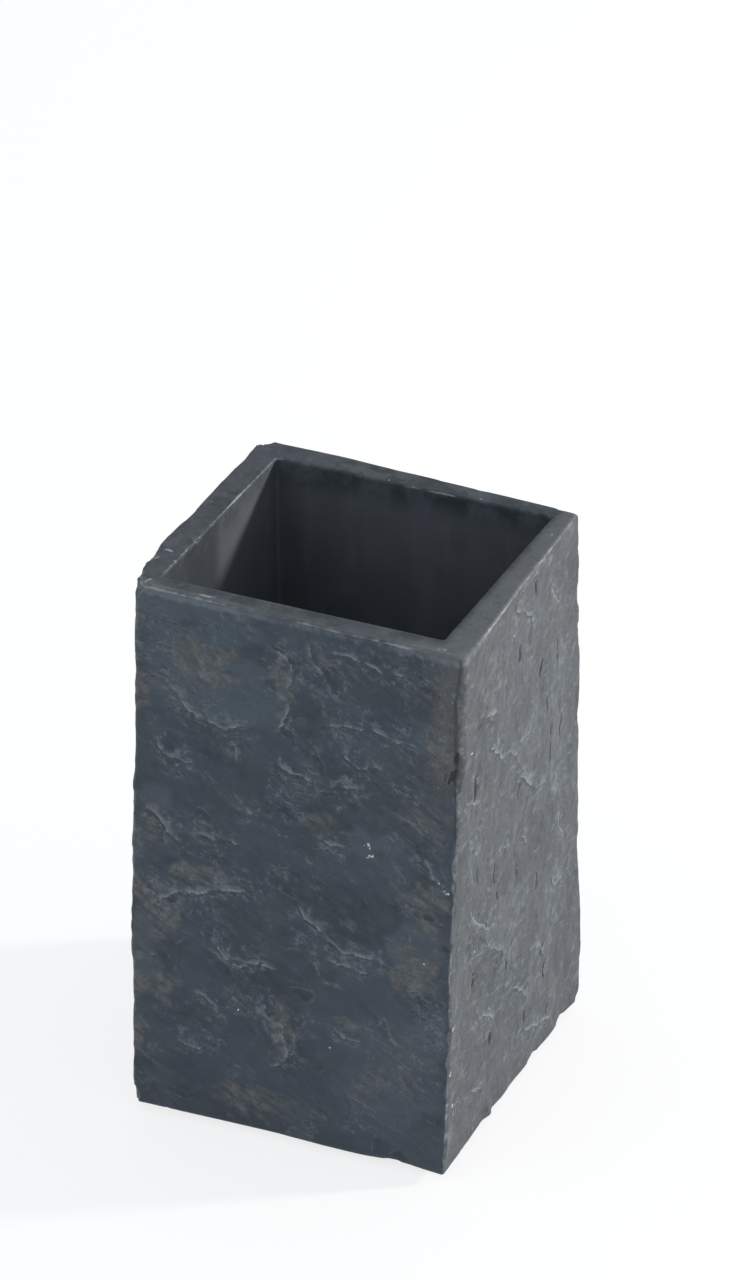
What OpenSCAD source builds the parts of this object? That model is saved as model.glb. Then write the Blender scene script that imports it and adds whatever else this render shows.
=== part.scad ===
// Square washstand tumbler, cast in stone-filled resin in one piece.
// Its four faces are moulded from riven slate, its rim and its cavity are smooth,
// and it stands on four stick-on feet.
// The origin is on the table under the middle of the tumbler: +X its right, -Y its front, +Z up.

/* [Block] */
// Height of the cast block, from its ground base to its flat rim
block_h = 110; // [90:1:130]
// Left to right size at the ground base
base_w = 64; // [58:0.5:72]
// Front to back size at the ground base
base_d = 66.5; // [60:0.5:74]
// Left to right size at the rim
rim_w = 66.5; // [60:0.5:74]
// Front to back size at the rim
rim_d = 60.2; // [56:0.2:70]

/* [Cavity] */
// Thickness of the walls at the rim
wall_t = 5; // [4.8:0.1:7]
// How far the core stood to the right of the block's middle
core_x = -0.3; // [-1:0.05:1]
// How far the core stood to the back of the block's middle
core_y = 0.45; // [-1:0.05:1]
// Thickness of the floor under the cavity
floor_t = 7; // [4:0.5:12]
// Radius of the cavity's upright corners
cavity_r = 1; // [0.6:0.1:4]
// Lean of each cavity wall, in degrees, so that the core draws out
draft_a = 0.7; // [0:0.1:1.5]
// Size of the bevel where the cavity's walls meet its floor
floor_bevel = 2.5; // [1:0.5:5]
// Size of the broken edge round the mouth
mouth_break = 0.3; // [0.2:0.1:0.8]

/* [Edges] */
// Rounding of the four upright edges
edge_r = 1.4; // [1:0.1:3]
// Furthest that an upright edge strays from its straight line
edge_stray = 1.5; // [0:0.1:2]
// Size of the broken outer edge round the rim and round the base
rim_break = 0.4; // [0.2:0.1:1]

/* [Riven slate] */
// Height from the lowest plate of slate to the highest
plate_rise = 1.3; // [0:0.1:1.6]
// Usual size of a plate of slate, across a face
plate_w = 23; // [12:1:40]
// Usual size of a plate of slate, up a face
plate_h = 14; // [8:1:30]
// Levels that the plates lie on
plate_levels = 3; // [2:1:5]
// Seed of the pattern of plates
plate_seed = 11; // [1:1:99]
// Height of the fullest hump of a face
hump_rise = 1.6; // [0:0.1:2]
// Height of the sharpest ledge of a face
ledge_rise = 0.8; // [0:0.1:1.2]
// Width of the broken side of a ledge
ledge_run = 2.4; // [1:0.1:4]
// Distance over which a ledge dies away on its high side
ledge_reach = 11; // [4:1:20]
// Distance between the points that shape the slate, across a face
pitch_across = 3.4; // [3:0.1:6]
// Distance between the points that shape the slate, up a face
pitch_up = 2.2; // [2:0.1:5]

/* [Feet] */
// Diameter of each foot
foot_d = 10; // [8:0.5:14]
// Thickness of each foot
foot_t = 1.5; // [1:0.1:3]
// Size of the broken lower edge of each foot
foot_break = 0.3; // [0.1:0.05:0.5]
// Thickness of the adhesive film on each foot
film_t = 0.2; // [0.1:0.05:0.5]
// Margin of the foot round its adhesive film
film_margin = 0.25; // [0.1:0.05:1]
// Distance from the sides of the base to the middle of each foot
foot_inset = 10; // [8:0.5:16]

/* [Hidden] */
// Overrun of the cuts
over = 1;
// Thickness of the slices that the cavity is stretched between
slice = 0.01;
// Facets of the cavity's corners and of the feet
corner_fn = 32;
round_fn = 64;

// The block stands on the feet and their film
base_z = foot_t + film_t;
mouth_w = rim_w - 2 * wall_t;
mouth_d = rim_d - 2 * wall_t;
cavity_h = block_h - floor_t;
cavity_draft = cavity_h * tan(draft_a);

// Points up the block, across a face between two edges, and round an edge
rows = round(block_h / pitch_up);
across = round(max(base_w, rim_w, base_d, rim_d) / pitch_across);
edge_share = edge_r / rim_w;
bend_shares = [0.33, 0.67];

// Faces in order front, right, back, left: where each looks, and where its first edge stands.
// Each face runs from its own edge to the next one, anticlockwise seen from above.
looks = [[0, -1], [1, 0], [0, 1], [-1, 0]];
stands = [[-1, -1], [1, -1], [1, 1], [-1, 1]];

// How each upright edge strays, from the base up:
// [share of the height, shares of edge_stray to the right and to the back]
edge_shares = [
    [[0, 0.23, -0.77], [0.12, 0.43, -0.58], [0.27, 0.45, -0.34], [0.33, 0.03, -0.25],
     [0.45, 0.23, -0.06], [0.62, 0.45, 0.2], [0.78, 0.73, 0.46], [1, 0.9, 0.81]],
    [[0, 0.2, 0.13], [0.05, 0.34, 0.12], [0.35, 0.2, 0.1], [0.6, 0.16, 0.2],
     [0.7, 0.49, 0.15], [0.8, 0.8, 0.1], [0.92, 0.75, 0.09], [1, 0.67, 0.09]],
    [[0, 0.05, 0.05], [0.16, 0.02, -0.05], [0.3, -0.3, -0.3], [0.44, -0.66, -0.2],
     [0.6, -0.56, -0.5], [0.71, -0.43, -0.6], [0.83, -0.76, -0.55], [1, -0.93, -0.81]],
    [[0, -0.23, 0.5], [0.18, -0.4, 0.3], [0.36, -0.1, 0.55], [0.5, -0.35, 0.4],
     [0.68, -0.1, 0.75], [0.85, -0.5, 0.9], [0.95, -0.65, 1.25], [1, -0.67, 1.2]]
];

// Humps and hollows: [face, share along the face, share of the height,
// reach along and up as shares of the face, share of hump_rise]
hump_shares = [
    [0, 0.26, 0.84, 0.26, 0.12, 0.35], [0, 0.62, 0.66, 0.2, 0.1, -0.3],
    [0, 0.1, 0.38, 0.16, 0.12, 0.3], [0, 0.55, 0.5, 0.22, 0.1, -0.25],
    [0, 0.85, 0.4, 0.16, 0.16, 0.3], [0, 0.42, 0.22, 0.14, 0.14, 0.3],
    [0, 0.85, 0, 0.12, 0.08, -0.5], [0, 0.4, 0, 0.3, 0.1, -0.2],
    [1, 0.4, 0.02, 0.3, 0.06, -0.45], [1, 0.89, 0.02, 0.08, 0.06, -0.7],
    [1, 0.3, 0.85, 0.2, 0.12, 0.35], [1, 0.7, 0.6, 0.16, 0.2, 0.3],
    [1, 0.2, 0.3, 0.2, 0.14, -0.35], [1, 0.62, 0.24, 0.22, 0.14, 0.25],
    [2, 0.3, 0.75, 0.25, 0.16, 0.4], [2, 0.7, 0.4, 0.22, 0.2, 0.45],
    [2, 0.25, 0.2, 0.2, 0.14, -0.3], [2, 0.6, 0.9, 0.18, 0.1, -0.25],
    [3, 0.74, 0.98, 0.26, 0.14, 0.8], [3, 0.3, 0.96, 0.3, 0.12, 0.4],
    [3, 0.9, 1, 0.1, 0.07, 0.55], [3, 0.06, 1, 0.06, 0.07, -0.3],
    [3, 0.5, 0.6, 0.24, 0.2, 0.5], [3, 0.3, 0.3, 0.2, 0.16, 0.35],
    [3, 0.75, 0.25, 0.2, 0.16, -0.3]
];

// Broken ledges of slate: [face, share of ledge_rise, the line of the break].
// The high side is on the left of the line as it is drawn. Each point of the line holds
// a share along the face and a share of the height.
ledge_shares = [
    [0, 0.9, [[0.12, 0.8], [0.24, 0.77], [0.34, 0.77], [0.43, 0.79], [0.47, 0.84], [0.46, 0.87]]],
    [0, 0.6, [[0.48, 0.71], [0.6, 0.7], [0.7, 0.71], [0.78, 0.75]]],
    [0, -0.6, [[0.6, 0.95], [0.56, 0.92], [0.63, 0.88], [0.7, 0.83]]],
    [0, 0.5, [[0.66, 0.83], [0.78, 0.82], [0.88, 0.81]]],
    [0, 0.8, [[0.03, 0.6], [0.09, 0.57], [0.13, 0.535], [0.3, 0.56]]],
    [0, 0.6, [[0.4, 0.52], [0.5, 0.535], [0.62, 0.52]]],
    [0, 0.9, [[0.06, 0.4], [0.15, 0.44], [0.26, 0.46], [0.36, 0.475]]],
    [0, 0.8, [[0.56, 0.44], [0.61, 0.42], [0.67, 0.395], [0.8, 0.39], [0.9, 0.38]]],
    [0, 0.7, [[0.25, 0.36], [0.34, 0.32], [0.42, 0.335], [0.48, 0.32]]],
    [0, -0.8, [[0.42, 0.27], [0.47, 0.22], [0.5, 0.17], [0.45, 0.13]]],
    [0, 0.5, [[0.2, 0.24], [0.3, 0.23], [0.38, 0.2]]],
    [0, 0.5, [[0.86, 0.61], [0.93, 0.58], [0.98, 0.55]]],
    [1, 0.8, [[0.2, 0.78], [0.3, 0.73], [0.44, 0.69], [0.5, 0.65]]],
    [1, 0.7, [[0.42, 0.71], [0.52, 0.7], [0.64, 0.705]]],
    [1, 0.6, [[0.48, 0.63], [0.56, 0.59], [0.66, 0.555], [0.74, 0.55]]],
    [1, 0.9, [[0.15, 0.37], [0.24, 0.36], [0.34, 0.335], [0.4, 0.31]]],
    [1, 0.6, [[0.1, 0.5], [0.18, 0.44], [0.28, 0.4], [0.36, 0.39]]],
    [1, 0.5, [[0.14, 0.85], [0.24, 0.83], [0.32, 0.8]]],
    [1, 0.7, [[0.4, 0.21], [0.5, 0.205], [0.58, 0.16], [0.66, 0.13]]],
    [1, -0.7, [[0.78, 0.96], [0.8, 0.9], [0.86, 0.84], [0.84, 0.76]]],
    [1, 0.6, [[0.03, 0.72], [0.1, 0.7], [0.17, 0.67]]],
    [2, 0.9, [[0.1, 0.66], [0.22, 0.7], [0.36, 0.69], [0.46, 0.73]]],
    [2, 0.7, [[0.5, 0.55], [0.62, 0.52], [0.76, 0.54], [0.9, 0.5]]],
    [2, -0.6, [[0.3, 0.9], [0.42, 0.87], [0.55, 0.9]]],
    [2, 0.8, [[0.15, 0.34], [0.3, 0.31], [0.42, 0.33], [0.55, 0.28]]],
    [2, 0.6, [[0.6, 0.2], [0.72, 0.16], [0.85, 0.17]]],
    [2, -0.7, [[0.72, 0.85], [0.76, 0.78], [0.74, 0.7]]],
    [3, 0.9, [[0.08, 0.74], [0.2, 0.71], [0.34, 0.73], [0.5, 0.7]]],
    [3, 0.7, [[0.55, 0.83], [0.68, 0.8], [0.82, 0.82]]],
    [3, 0.8, [[0.2, 0.46], [0.35, 0.49], [0.5, 0.46], [0.62, 0.47]]],
    [3, -0.7, [[0.7, 0.66], [0.74, 0.58], [0.7, 0.5]]],
    [3, 0.7, [[0.12, 0.2], [0.28, 0.22], [0.4, 0.18], [0.56, 0.2]]],
    [3, 0.6, [[0.62, 0.33], [0.78, 0.3], [0.9, 0.32]]]
];

// Share of a face over which the slate settles to its edges, and what is left of it there
settle_share = 0.09;
settled_share = 0.2;
// Share of a step of slate that is its broken side, and the slant of the plates
riser_share = 0.25;
slant_share = 0.35;
// Share of the flakes, half as large as the plates, in the pattern
flake_share = 0.3;
// Field of random shares that the plates are read from
field_n = 17;
field_shares = rands(0, 1, field_n * field_n, plate_seed);

function clamp01(f) = max(0, min(1, f));
function ease(f) = f * f * (3 - 2 * f);
function mix(a, b, f) = a + (b - a) * f;

// Straying of upright edge k at height share u, read between the rows of its table
function stray_at(k, u) =
    let (t = edge_shares[k],
         i = max([for (j = [0 : len(t) - 2]) if (t[j][0] <= u) j]),
         f = (u - t[i][0]) / (t[i + 1][0] - t[i][0]))
    mix([t[i][1], t[i][2]], [t[i + 1][1], t[i + 1][2]], clamp01(f)) * edge_stray;

// Where upright edge k stands at height share u
function edge_at(k, u) =
    let (half = mix([base_w, base_d], [rim_w, rim_d], u) / 2)
    [stands[k][0] * half[0], stands[k][1] * half[1]] + stray_at(k, u);

// One value of the random field, and the field smoothed between its values
function field_at(i, j) = field_shares[(i % field_n) * field_n + j % field_n];
function field_between(u, v) =
    let (i = floor(u), j = floor(v), fu = ease(u - i), fv = ease(v - j))
    mix(mix(field_at(i, j), field_at(i + 1, j), fu),
        mix(field_at(i, j + 1), field_at(i + 1, j + 1), fu), fv);

// Plates of slate: the smoothed field, cut into flat steps with short broken sides
function plates(k, x, z) =
    let (u = (x + slant_share * z) / plate_w + k * len(looks),
         v = (z + block_h) / plate_h + k,
         level = plate_levels * mix(field_between(u, v), field_between(2 * u, 2 * v), flake_share),
         step = floor(level),
         rest = level - step)
    plate_rise * ((step + ease(clamp01(1 + (rest - 1) / riser_share))) / plate_levels - 1 / 2);

// Humps and hollows of face k at shares a along it and u up it
function humps(k, a, u) = hump_rise * sum([
    for (h = hump_shares)
        if (h[0] == k)
            let (da = (a - h[1]) / h[3], du = (u - h[2]) / h[4], q = da * da + du * du)
            if (q < 1) h[5] * (1 - q) * (1 - q)
]);

// Height of one ledge at place p, from its nearest stretch: the break is steep on one side
// and dies away on the other and towards both ends of its line
function ledge(line, p) =
    let (n = len(line),
         near = [for (i = [0 : n - 2])
             let (a = line[i], d = line[i + 1] - a,
                  t = clamp01((p - a) * d / (d * d)),
                  off = p - a - t * d,
                  side = d[0] * off[1] - d[1] * off[0] < 0 ? -1 : 1)
             [norm(off), side, (i + t) / (n - 1)]],
         least = min([for (s = near) s[0]]),
         best = [for (s = near) if (s[0] == least) s][0],
         reach = best[0] / ledge_reach,
         ends = 4 * best[2] * (1 - best[2]))
    best[1] < 0 ? ends * clamp01(1 - best[0] / ledge_run) / 2
                : ends * mix(1 / 2, 1, clamp01(best[0] / ledge_run)) * (1 - ease(clamp01(reach)));

function ledges(k, width, p) = ledge_rise * sum([
    for (l = ledge_shares)
        if (l[0] == k)
            l[1] * ledge([for (q = l[2]) [q[0] * width, q[1] * block_h]], p)
]);

function sum(v) = len(v) == 0 ? 0 : v * [for (x = v) 1];

// How much of the plates and ledges is left near the sides, the rim and the base of a face
function settle(a, u) =
    let (side = min(a, 1 - a), end = min(u, 1 - u))
    mix(settled_share, 1, ease(clamp01(min(side, end) / settle_share)));

// Outward height of the slate on face k at shares a along it and u up it
function relief(k, a, u) =
    let (width = norm(edge_at((k + 1) % 4, u) - edge_at(k, u)), x = a * width, z = u * block_h)
    humps(k, a, u) + settle(a, u) * (plates(k, x, z) + ledges(k, width, [x, z]));

// Point of face k at shares a and u, drawn in by inset where the rim and the base are broken
function face_point(k, a, u, inset) =
    mix(edge_at(k, u), edge_at((k + 1) % 4, u), a) + looks[k] * (relief(k, a, u) - inset);

// The points of face k and of the rounded edge after it, at height share u
function face_row(k, u, inset) =
    let (flat = [for (i = [0 : across]) face_point(k, mix(edge_share, 1 - edge_share, i / across), u, inset)],
         next = (k + 1) % 4,
         last = flat[across],
         first = face_point(next, edge_share, u, inset),
         tip = edge_at(next, u) + looks[k] * (relief(k, 1, u) - inset)
             + looks[next] * (relief(next, 0, u) - inset))
    concat(flat, [for (t = bend_shares) mix(mix(last, tip, t), mix(tip, first, t), t)]);

function ring(z, inset) = [
    for (k = [0 : 3], p = face_row(k, z / block_h, inset)) [p[0], p[1], z]
];

// The block: rings of points up its faces, closed by a fan at the base and at the rim
module riven_block() {
    heights = concat([0], [for (j = [0 : rows]) mix(rim_break, block_h - rim_break, j / rows)], [block_h]);
    rings = [for (z = heights) ring(z, z == 0 || z == block_h ? rim_break : 0)];
    n = len(rings[0]);
    top = len(heights) - 1;
    middle = n * len(heights);
    points = concat([for (r = rings, p = r) p], [[0, 0, 0], [0, 0, block_h]]);
    sides = [for (j = [0 : top - 1], i = [0 : n - 1], half = [0, 1])
        let (a = j * n + i, b = j * n + (i + 1) % n)
        half == 0 ? [a, a + n, b] : [b, a + n, b + n]];
    base = [for (i = [0 : n - 1]) [middle, i, (i + 1) % n]];
    rim = [for (i = [0 : n - 1]) [middle + 1, top * n + (i + 1) % n, top * n + i]];
    polyhedron(points, concat(sides, base, rim));
}

// Flat section of the cavity, drawn in from the mouth by inset
module cavity_section(inset) {
    translate([core_x, core_y, 0])
        linear_extrude(height = slice)
            offset(r = cavity_r, $fn = corner_fn)
                square([mouth_w - 2 * (inset + cavity_r), mouth_d - 2 * (inset + cavity_r)], center = true);
}

// The space that the core leaves: drafted walls, a bevelled floor and a broken mouth
module cavity() {
    hull() {
        translate([0, 0, block_h - slice]) cavity_section(0);
        translate([0, 0, floor_t + floor_bevel]) cavity_section(cavity_draft);
        translate([0, 0, floor_t]) cavity_section(cavity_draft + floor_bevel);
    }
    hull() {
        translate([0, 0, block_h - mouth_break]) cavity_section(0);
        translate([0, 0, block_h + over]) cavity_section(-mouth_break - over);
    }
}

module tumbler_body() {
    color("#48525a")
        translate([0, 0, base_z])
            difference() {
                riven_block();
                cavity();
            }
}

// Middle of the foot at the corner that stands at [sx, sy]
function foot_place(sx, sy) = [sx * (base_w / 2 - foot_inset), sy * (base_d / 2 - foot_inset), 0];

// Die-cut rubber disc with a broken lower edge
module foot(sx, sy) {
    color("#1f2022")
        translate(foot_place(sx, sy))
            rotate_extrude($fn = round_fn)
                polygon([[0, 0], [foot_d / 2 - foot_break, 0], [foot_d / 2, foot_break],
                         [foot_d / 2, foot_t], [0, foot_t]]);
}

// Disc of double-sided film between a foot and the ground base
module film(sx, sy) {
    color("#d8d4c4")
        translate(foot_place(sx, sy) + [0, 0, foot_t])
            cylinder(d = foot_d - 2 * film_margin, h = film_t, $fn = round_fn);
}

tumbler_body();
foot(-1, -1);  // foot_front_left
foot(1, -1);  // foot_front_right
foot(-1, 1);  // foot_rear_left
foot(1, 1);  // foot_rear_right
film(-1, -1);  // film_front_left
film(1, -1);  // film_front_right
film(-1, 1);  // film_rear_left
film(1, 1);  // film_rear_right
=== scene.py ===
import math
from functools import partial

import bpy
import numpy as np
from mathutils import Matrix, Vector
from mathutils.bvhtree import BVHTree


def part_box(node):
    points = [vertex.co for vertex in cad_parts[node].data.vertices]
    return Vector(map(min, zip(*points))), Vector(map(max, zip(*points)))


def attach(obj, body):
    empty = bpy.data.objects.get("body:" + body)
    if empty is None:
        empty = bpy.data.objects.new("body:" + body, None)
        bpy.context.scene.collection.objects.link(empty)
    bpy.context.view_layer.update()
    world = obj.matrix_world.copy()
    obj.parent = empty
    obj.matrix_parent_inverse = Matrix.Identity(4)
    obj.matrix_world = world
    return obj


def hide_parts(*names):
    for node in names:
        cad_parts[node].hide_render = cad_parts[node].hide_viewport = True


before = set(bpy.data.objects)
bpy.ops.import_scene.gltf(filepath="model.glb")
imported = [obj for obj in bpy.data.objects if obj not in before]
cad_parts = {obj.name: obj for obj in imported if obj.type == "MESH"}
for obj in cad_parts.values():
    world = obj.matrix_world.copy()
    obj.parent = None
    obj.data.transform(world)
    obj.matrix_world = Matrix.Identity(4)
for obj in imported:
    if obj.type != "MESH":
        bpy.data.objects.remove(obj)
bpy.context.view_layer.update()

mm = 0.001               # every length below is in millimetres until it meets Blender

# Riven-slate bathroom tumbler: one casting in filled resin, four rubber feet on adhesive film.
# Faces are numbered anticlockwise seen from above: 0 front, 1 right, 2 back, 3 left.
# On a face, s runs from its left edge to its right edge seen from outside, t up from the base.


def addObject(name, data):
    made = bpy.data.objects.new(name, data)
    bpy.context.scene.collection.objects.link(made)
    return made


def standOff(thing, aim, way, distance):
    # stands a camera or lamp off from what it is aimed at, looking back
    thing.location = aim + way * distance * mm
    thing.rotation_euler = (-way).to_track_quat("-Z", "Y").to_euler()


# Camera, at the photograph's viewing angle.
view = {
    "azimuth": 24.184,       # degrees to the right of the front
    "elevation": 29.912,
    "distance": 1200,
    "lens": 182.0,           # on a 36 mm sensor, along the picture's height
    "aim": (1.481, 0, 92.412),
}


def placeCamera():
    turn = math.radians(view["azimuth"])
    rise = math.radians(view["elevation"])
    away = Vector((math.sin(turn) * math.cos(rise), -math.cos(turn) * math.cos(rise), math.sin(rise)))
    data = bpy.data.cameras.new("camera")
    data.lens = view["lens"]
    data.sensor_width = 36
    data.clip_start = 0.05
    data.clip_end = 60
    camera = addObject("camera", data)
    standOff(camera, Vector(view["aim"]) * mm, away, view["distance"])
    bpy.context.scene.camera = camera


placeCamera()
print("camera placed")


def smooth(low, high, x):
    part = np.clip((x - low) / (high - low), 0, 1)
    return part * part * (3 - 2 * part)


def latticeNoise(x, y, seed):
    # smooth noise from random slopes on a unit grid, about -1 to 1
    rng = np.random.default_rng(seed)
    table = rng.permutation(256)
    angle = rng.uniform(0, 2 * math.pi, 256)
    left, low = np.floor(x).astype(int), np.floor(y).astype(int)
    across, up = x - left, y - low

    def slope(i, j):
        turn = angle[table[(table[(left + i) % 256] + low + j) % 256]]
        return np.cos(turn) * (across - i) + np.sin(turn) * (up - j)

    easeX = across ** 3 * (across * (across * 6 - 15) + 10)
    easeY = up ** 3 * (up * (up * 6 - 15) + 10)
    below = slope(0, 0) * (1 - easeX) + slope(1, 0) * easeX
    above = slope(0, 1) * (1 - easeX) + slope(1, 1) * easeX
    return (below * (1 - easeY) + above * easeY) * 1.5


def layeredNoise(x, y, seed, octaves=4, keep=0.5):
    total, size, gain, full = 0, 1, 1, 0
    for n in range(octaves):
        total = total + gain * latticeNoise(x * size + 17.3 * n, y * size - 9.1 * n, seed + n)
        full += gain
        size *= 2.03
        gain *= keep
    return total / full


def blur(grid, reach):
    # soft average over a distance given in grid steps, both ways; past 2.6 of them nothing counts
    half = max(1, int(math.ceil(reach * 2.6)))
    weights = np.exp(-0.5 * (np.arange(-half, half + 1) / reach) ** 2)
    weights /= weights.sum()
    for axis in (0, 1):
        pad = [(half, half) if a == axis else (0, 0) for a in (0, 1)]
        padded = np.pad(grid, pad, mode="edge")
        long = grid.shape[axis]
        grid = sum(w * np.take(padded, range(i, i + long), axis=axis) for i, w in enumerate(weights))
    return grid


# Ways out of the four faces and along them.
outward = [np.array(v, float) for v in ((0, -1), (1, 0), (0, 1), (-1, 0))]
alongFace = [np.array(v, float) for v in ((1, 0), (0, 1), (-1, 0), (0, -1))]

block = {
    "base": 1.7,             # height of the ground base over the table
    "height": 110,
    "faceWidth": 64,         # nominal width that s on a face is given against
    "softening": 1.0,        # takes the facets out of the CAD's skin
    "step": 0.4,             # of the height maps
    "pitch": 0.75,           # between the rows of rays that read the CAD's skin
    "raysAcross": 76,        # in a row
    "raysFrom": 60,          # how far out they start
    "clearOfEdge": 2.3,      # how far they keep from the rounded upright edges
    "widthAt": 26,           # where on a face its neighbours' half widths are read
    "cornerAt": 31.0,        # where on its map the corner of the section is read
}
gridS = np.arange(-36, 36.01, block["step"])
gridT = np.arange(-0.8, block["height"] + 0.81, block["step"])
mapS, mapT = np.meshgrid(gridS, gridT)


def readMap(grid, s, t):
    x = np.clip((s - gridS[0]) / block["step"], 0, len(gridS) - 1.001)
    y = np.clip((t - gridT[0]) / block["step"], 0, len(gridT) - 1.001)
    i, j = x.astype(int), y.astype(int)
    u, v = x - i, y - j
    low = grid[j, i] * (1 - u) + grid[j, i + 1] * u
    high = grid[j + 1, i] * (1 - u) + grid[j + 1, i + 1] * u
    return low * (1 - v) + high * v


def measureBlock():
    # how far out each face of the CAD body stands, by rays from outside
    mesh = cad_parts["tumbler_body"].data
    corners = [v.co / mm for v in mesh.vertices]
    tree = BVHTree.FromPolygons(corners, [tuple(p.vertices) for p in mesh.polygons])
    pitch = block["pitch"]
    heights = np.arange(0.6, block["height"] - 0.5, pitch)

    def standOut(k, s, t):
        for slip in (0, 0.013, -0.017):          # a ray can slip between two triangles
            start = alongFace[k] * (s + slip) + outward[k] * block["raysFrom"]
            look = Vector((-outward[k][0], -outward[k][1], 0))
            hit = tree.ray_cast(Vector((start[0], start[1], block["base"] + t + slip)), look)[0]
            if hit:
                return hit.x * outward[k][0] + hit.y * outward[k][1]
        raise ValueError("no skin at face %d, s %.1f, t %.1f" % (k, s, t))

    # half widths first, then rows of rays that stop short of the rounded edges
    sides = (-block["widthAt"], block["widthAt"])
    reach = [[[standOut(k, s, t) for t in heights] for s in sides] for k in range(4)]
    maps = []
    for k in range(4):
        rows = []
        for j, t in enumerate(heights):
            start = -reach[(k - 1) % 4][1][j] + block["clearOfEdge"]
            stop = reach[(k + 1) % 4][0][j] - block["clearOfEdge"]
            s = np.linspace(start, stop, block["raysAcross"])
            row = np.array([standOut(k, place, t) for place in s])
            # carried on in a straight line past the rounded edges
            leanLeft = (row[5] - row[0]) / (s[5] - s[0])
            leanRight = (row[-1] - row[-6]) / (s[-1] - s[-6])
            wide = np.interp(gridS, s, row)
            wide += leanLeft * np.minimum(gridS - start, 0) + leanRight * np.maximum(gridS - stop, 0)
            rows.append(wide)
        rows = np.array(rows)
        v = np.clip((gridT - heights[0]) / pitch, 0, len(heights) - 1.001)
        j = v.astype(int)
        fine = rows[j] * (1 - (v - j))[:, None] + rows[j + 1] * (v - j)[:, None]
        maps.append(blur(fine, block["softening"] / block["step"]))
    return maps


faceMaps = measureBlock()
print("block measured")


def tipsOf(maps):
    # where the corners of the section lie along each face at every level of the map
    far = np.full(len(gridT), block["cornerAt"])
    left = [-readMap(maps[(k - 1) % 4], far, gridT) for k in range(4)]
    right = [readMap(maps[(k + 1) % 4], -far, gridT) for k in range(4)]
    return left, right


leftTips, rightTips = tipsOf(faceMaps)

# How the slate of the four faces is riven.
slate = {
    "swell": 0.34,           # long waves of the split face
    "swellAcross": 17, "swellUp": 11,
    "flake": 0.11,           # short scales on the beds
    "flakeAcross": 4.6, "flakeUp": 2.6,
    "tooth": 0.035,          # finest roughness that the mesh still carries
    "ledge": 0.62,           # how much of the drawn edges' rise is used
    "bed": 0.34,             # thickness of a bed
    "brokenEdge": 0.55,      # width of a bed's broken edge
    "lean": (-34, 78, -20, 70),      # degrees that the grain of each face leans by
    "proud": 0.12,           # the flakes are cut in, so the whole stands out by this much
    "ragged": 1.0,           # how far broken edges wander from a drawn line
    "raggedEvery": 3.8,      # mm from one wave of that to the next
    "bend": 2.2,             # how far the grain itself bends
    "bendEvery": 9,
    "strayWash": 0.85, "strayTone": 0.35,    # how ragged patches are, in shares of their half sizes
    "slit": 0.72,            # share of the drawn width that a slit opens to
}

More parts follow.
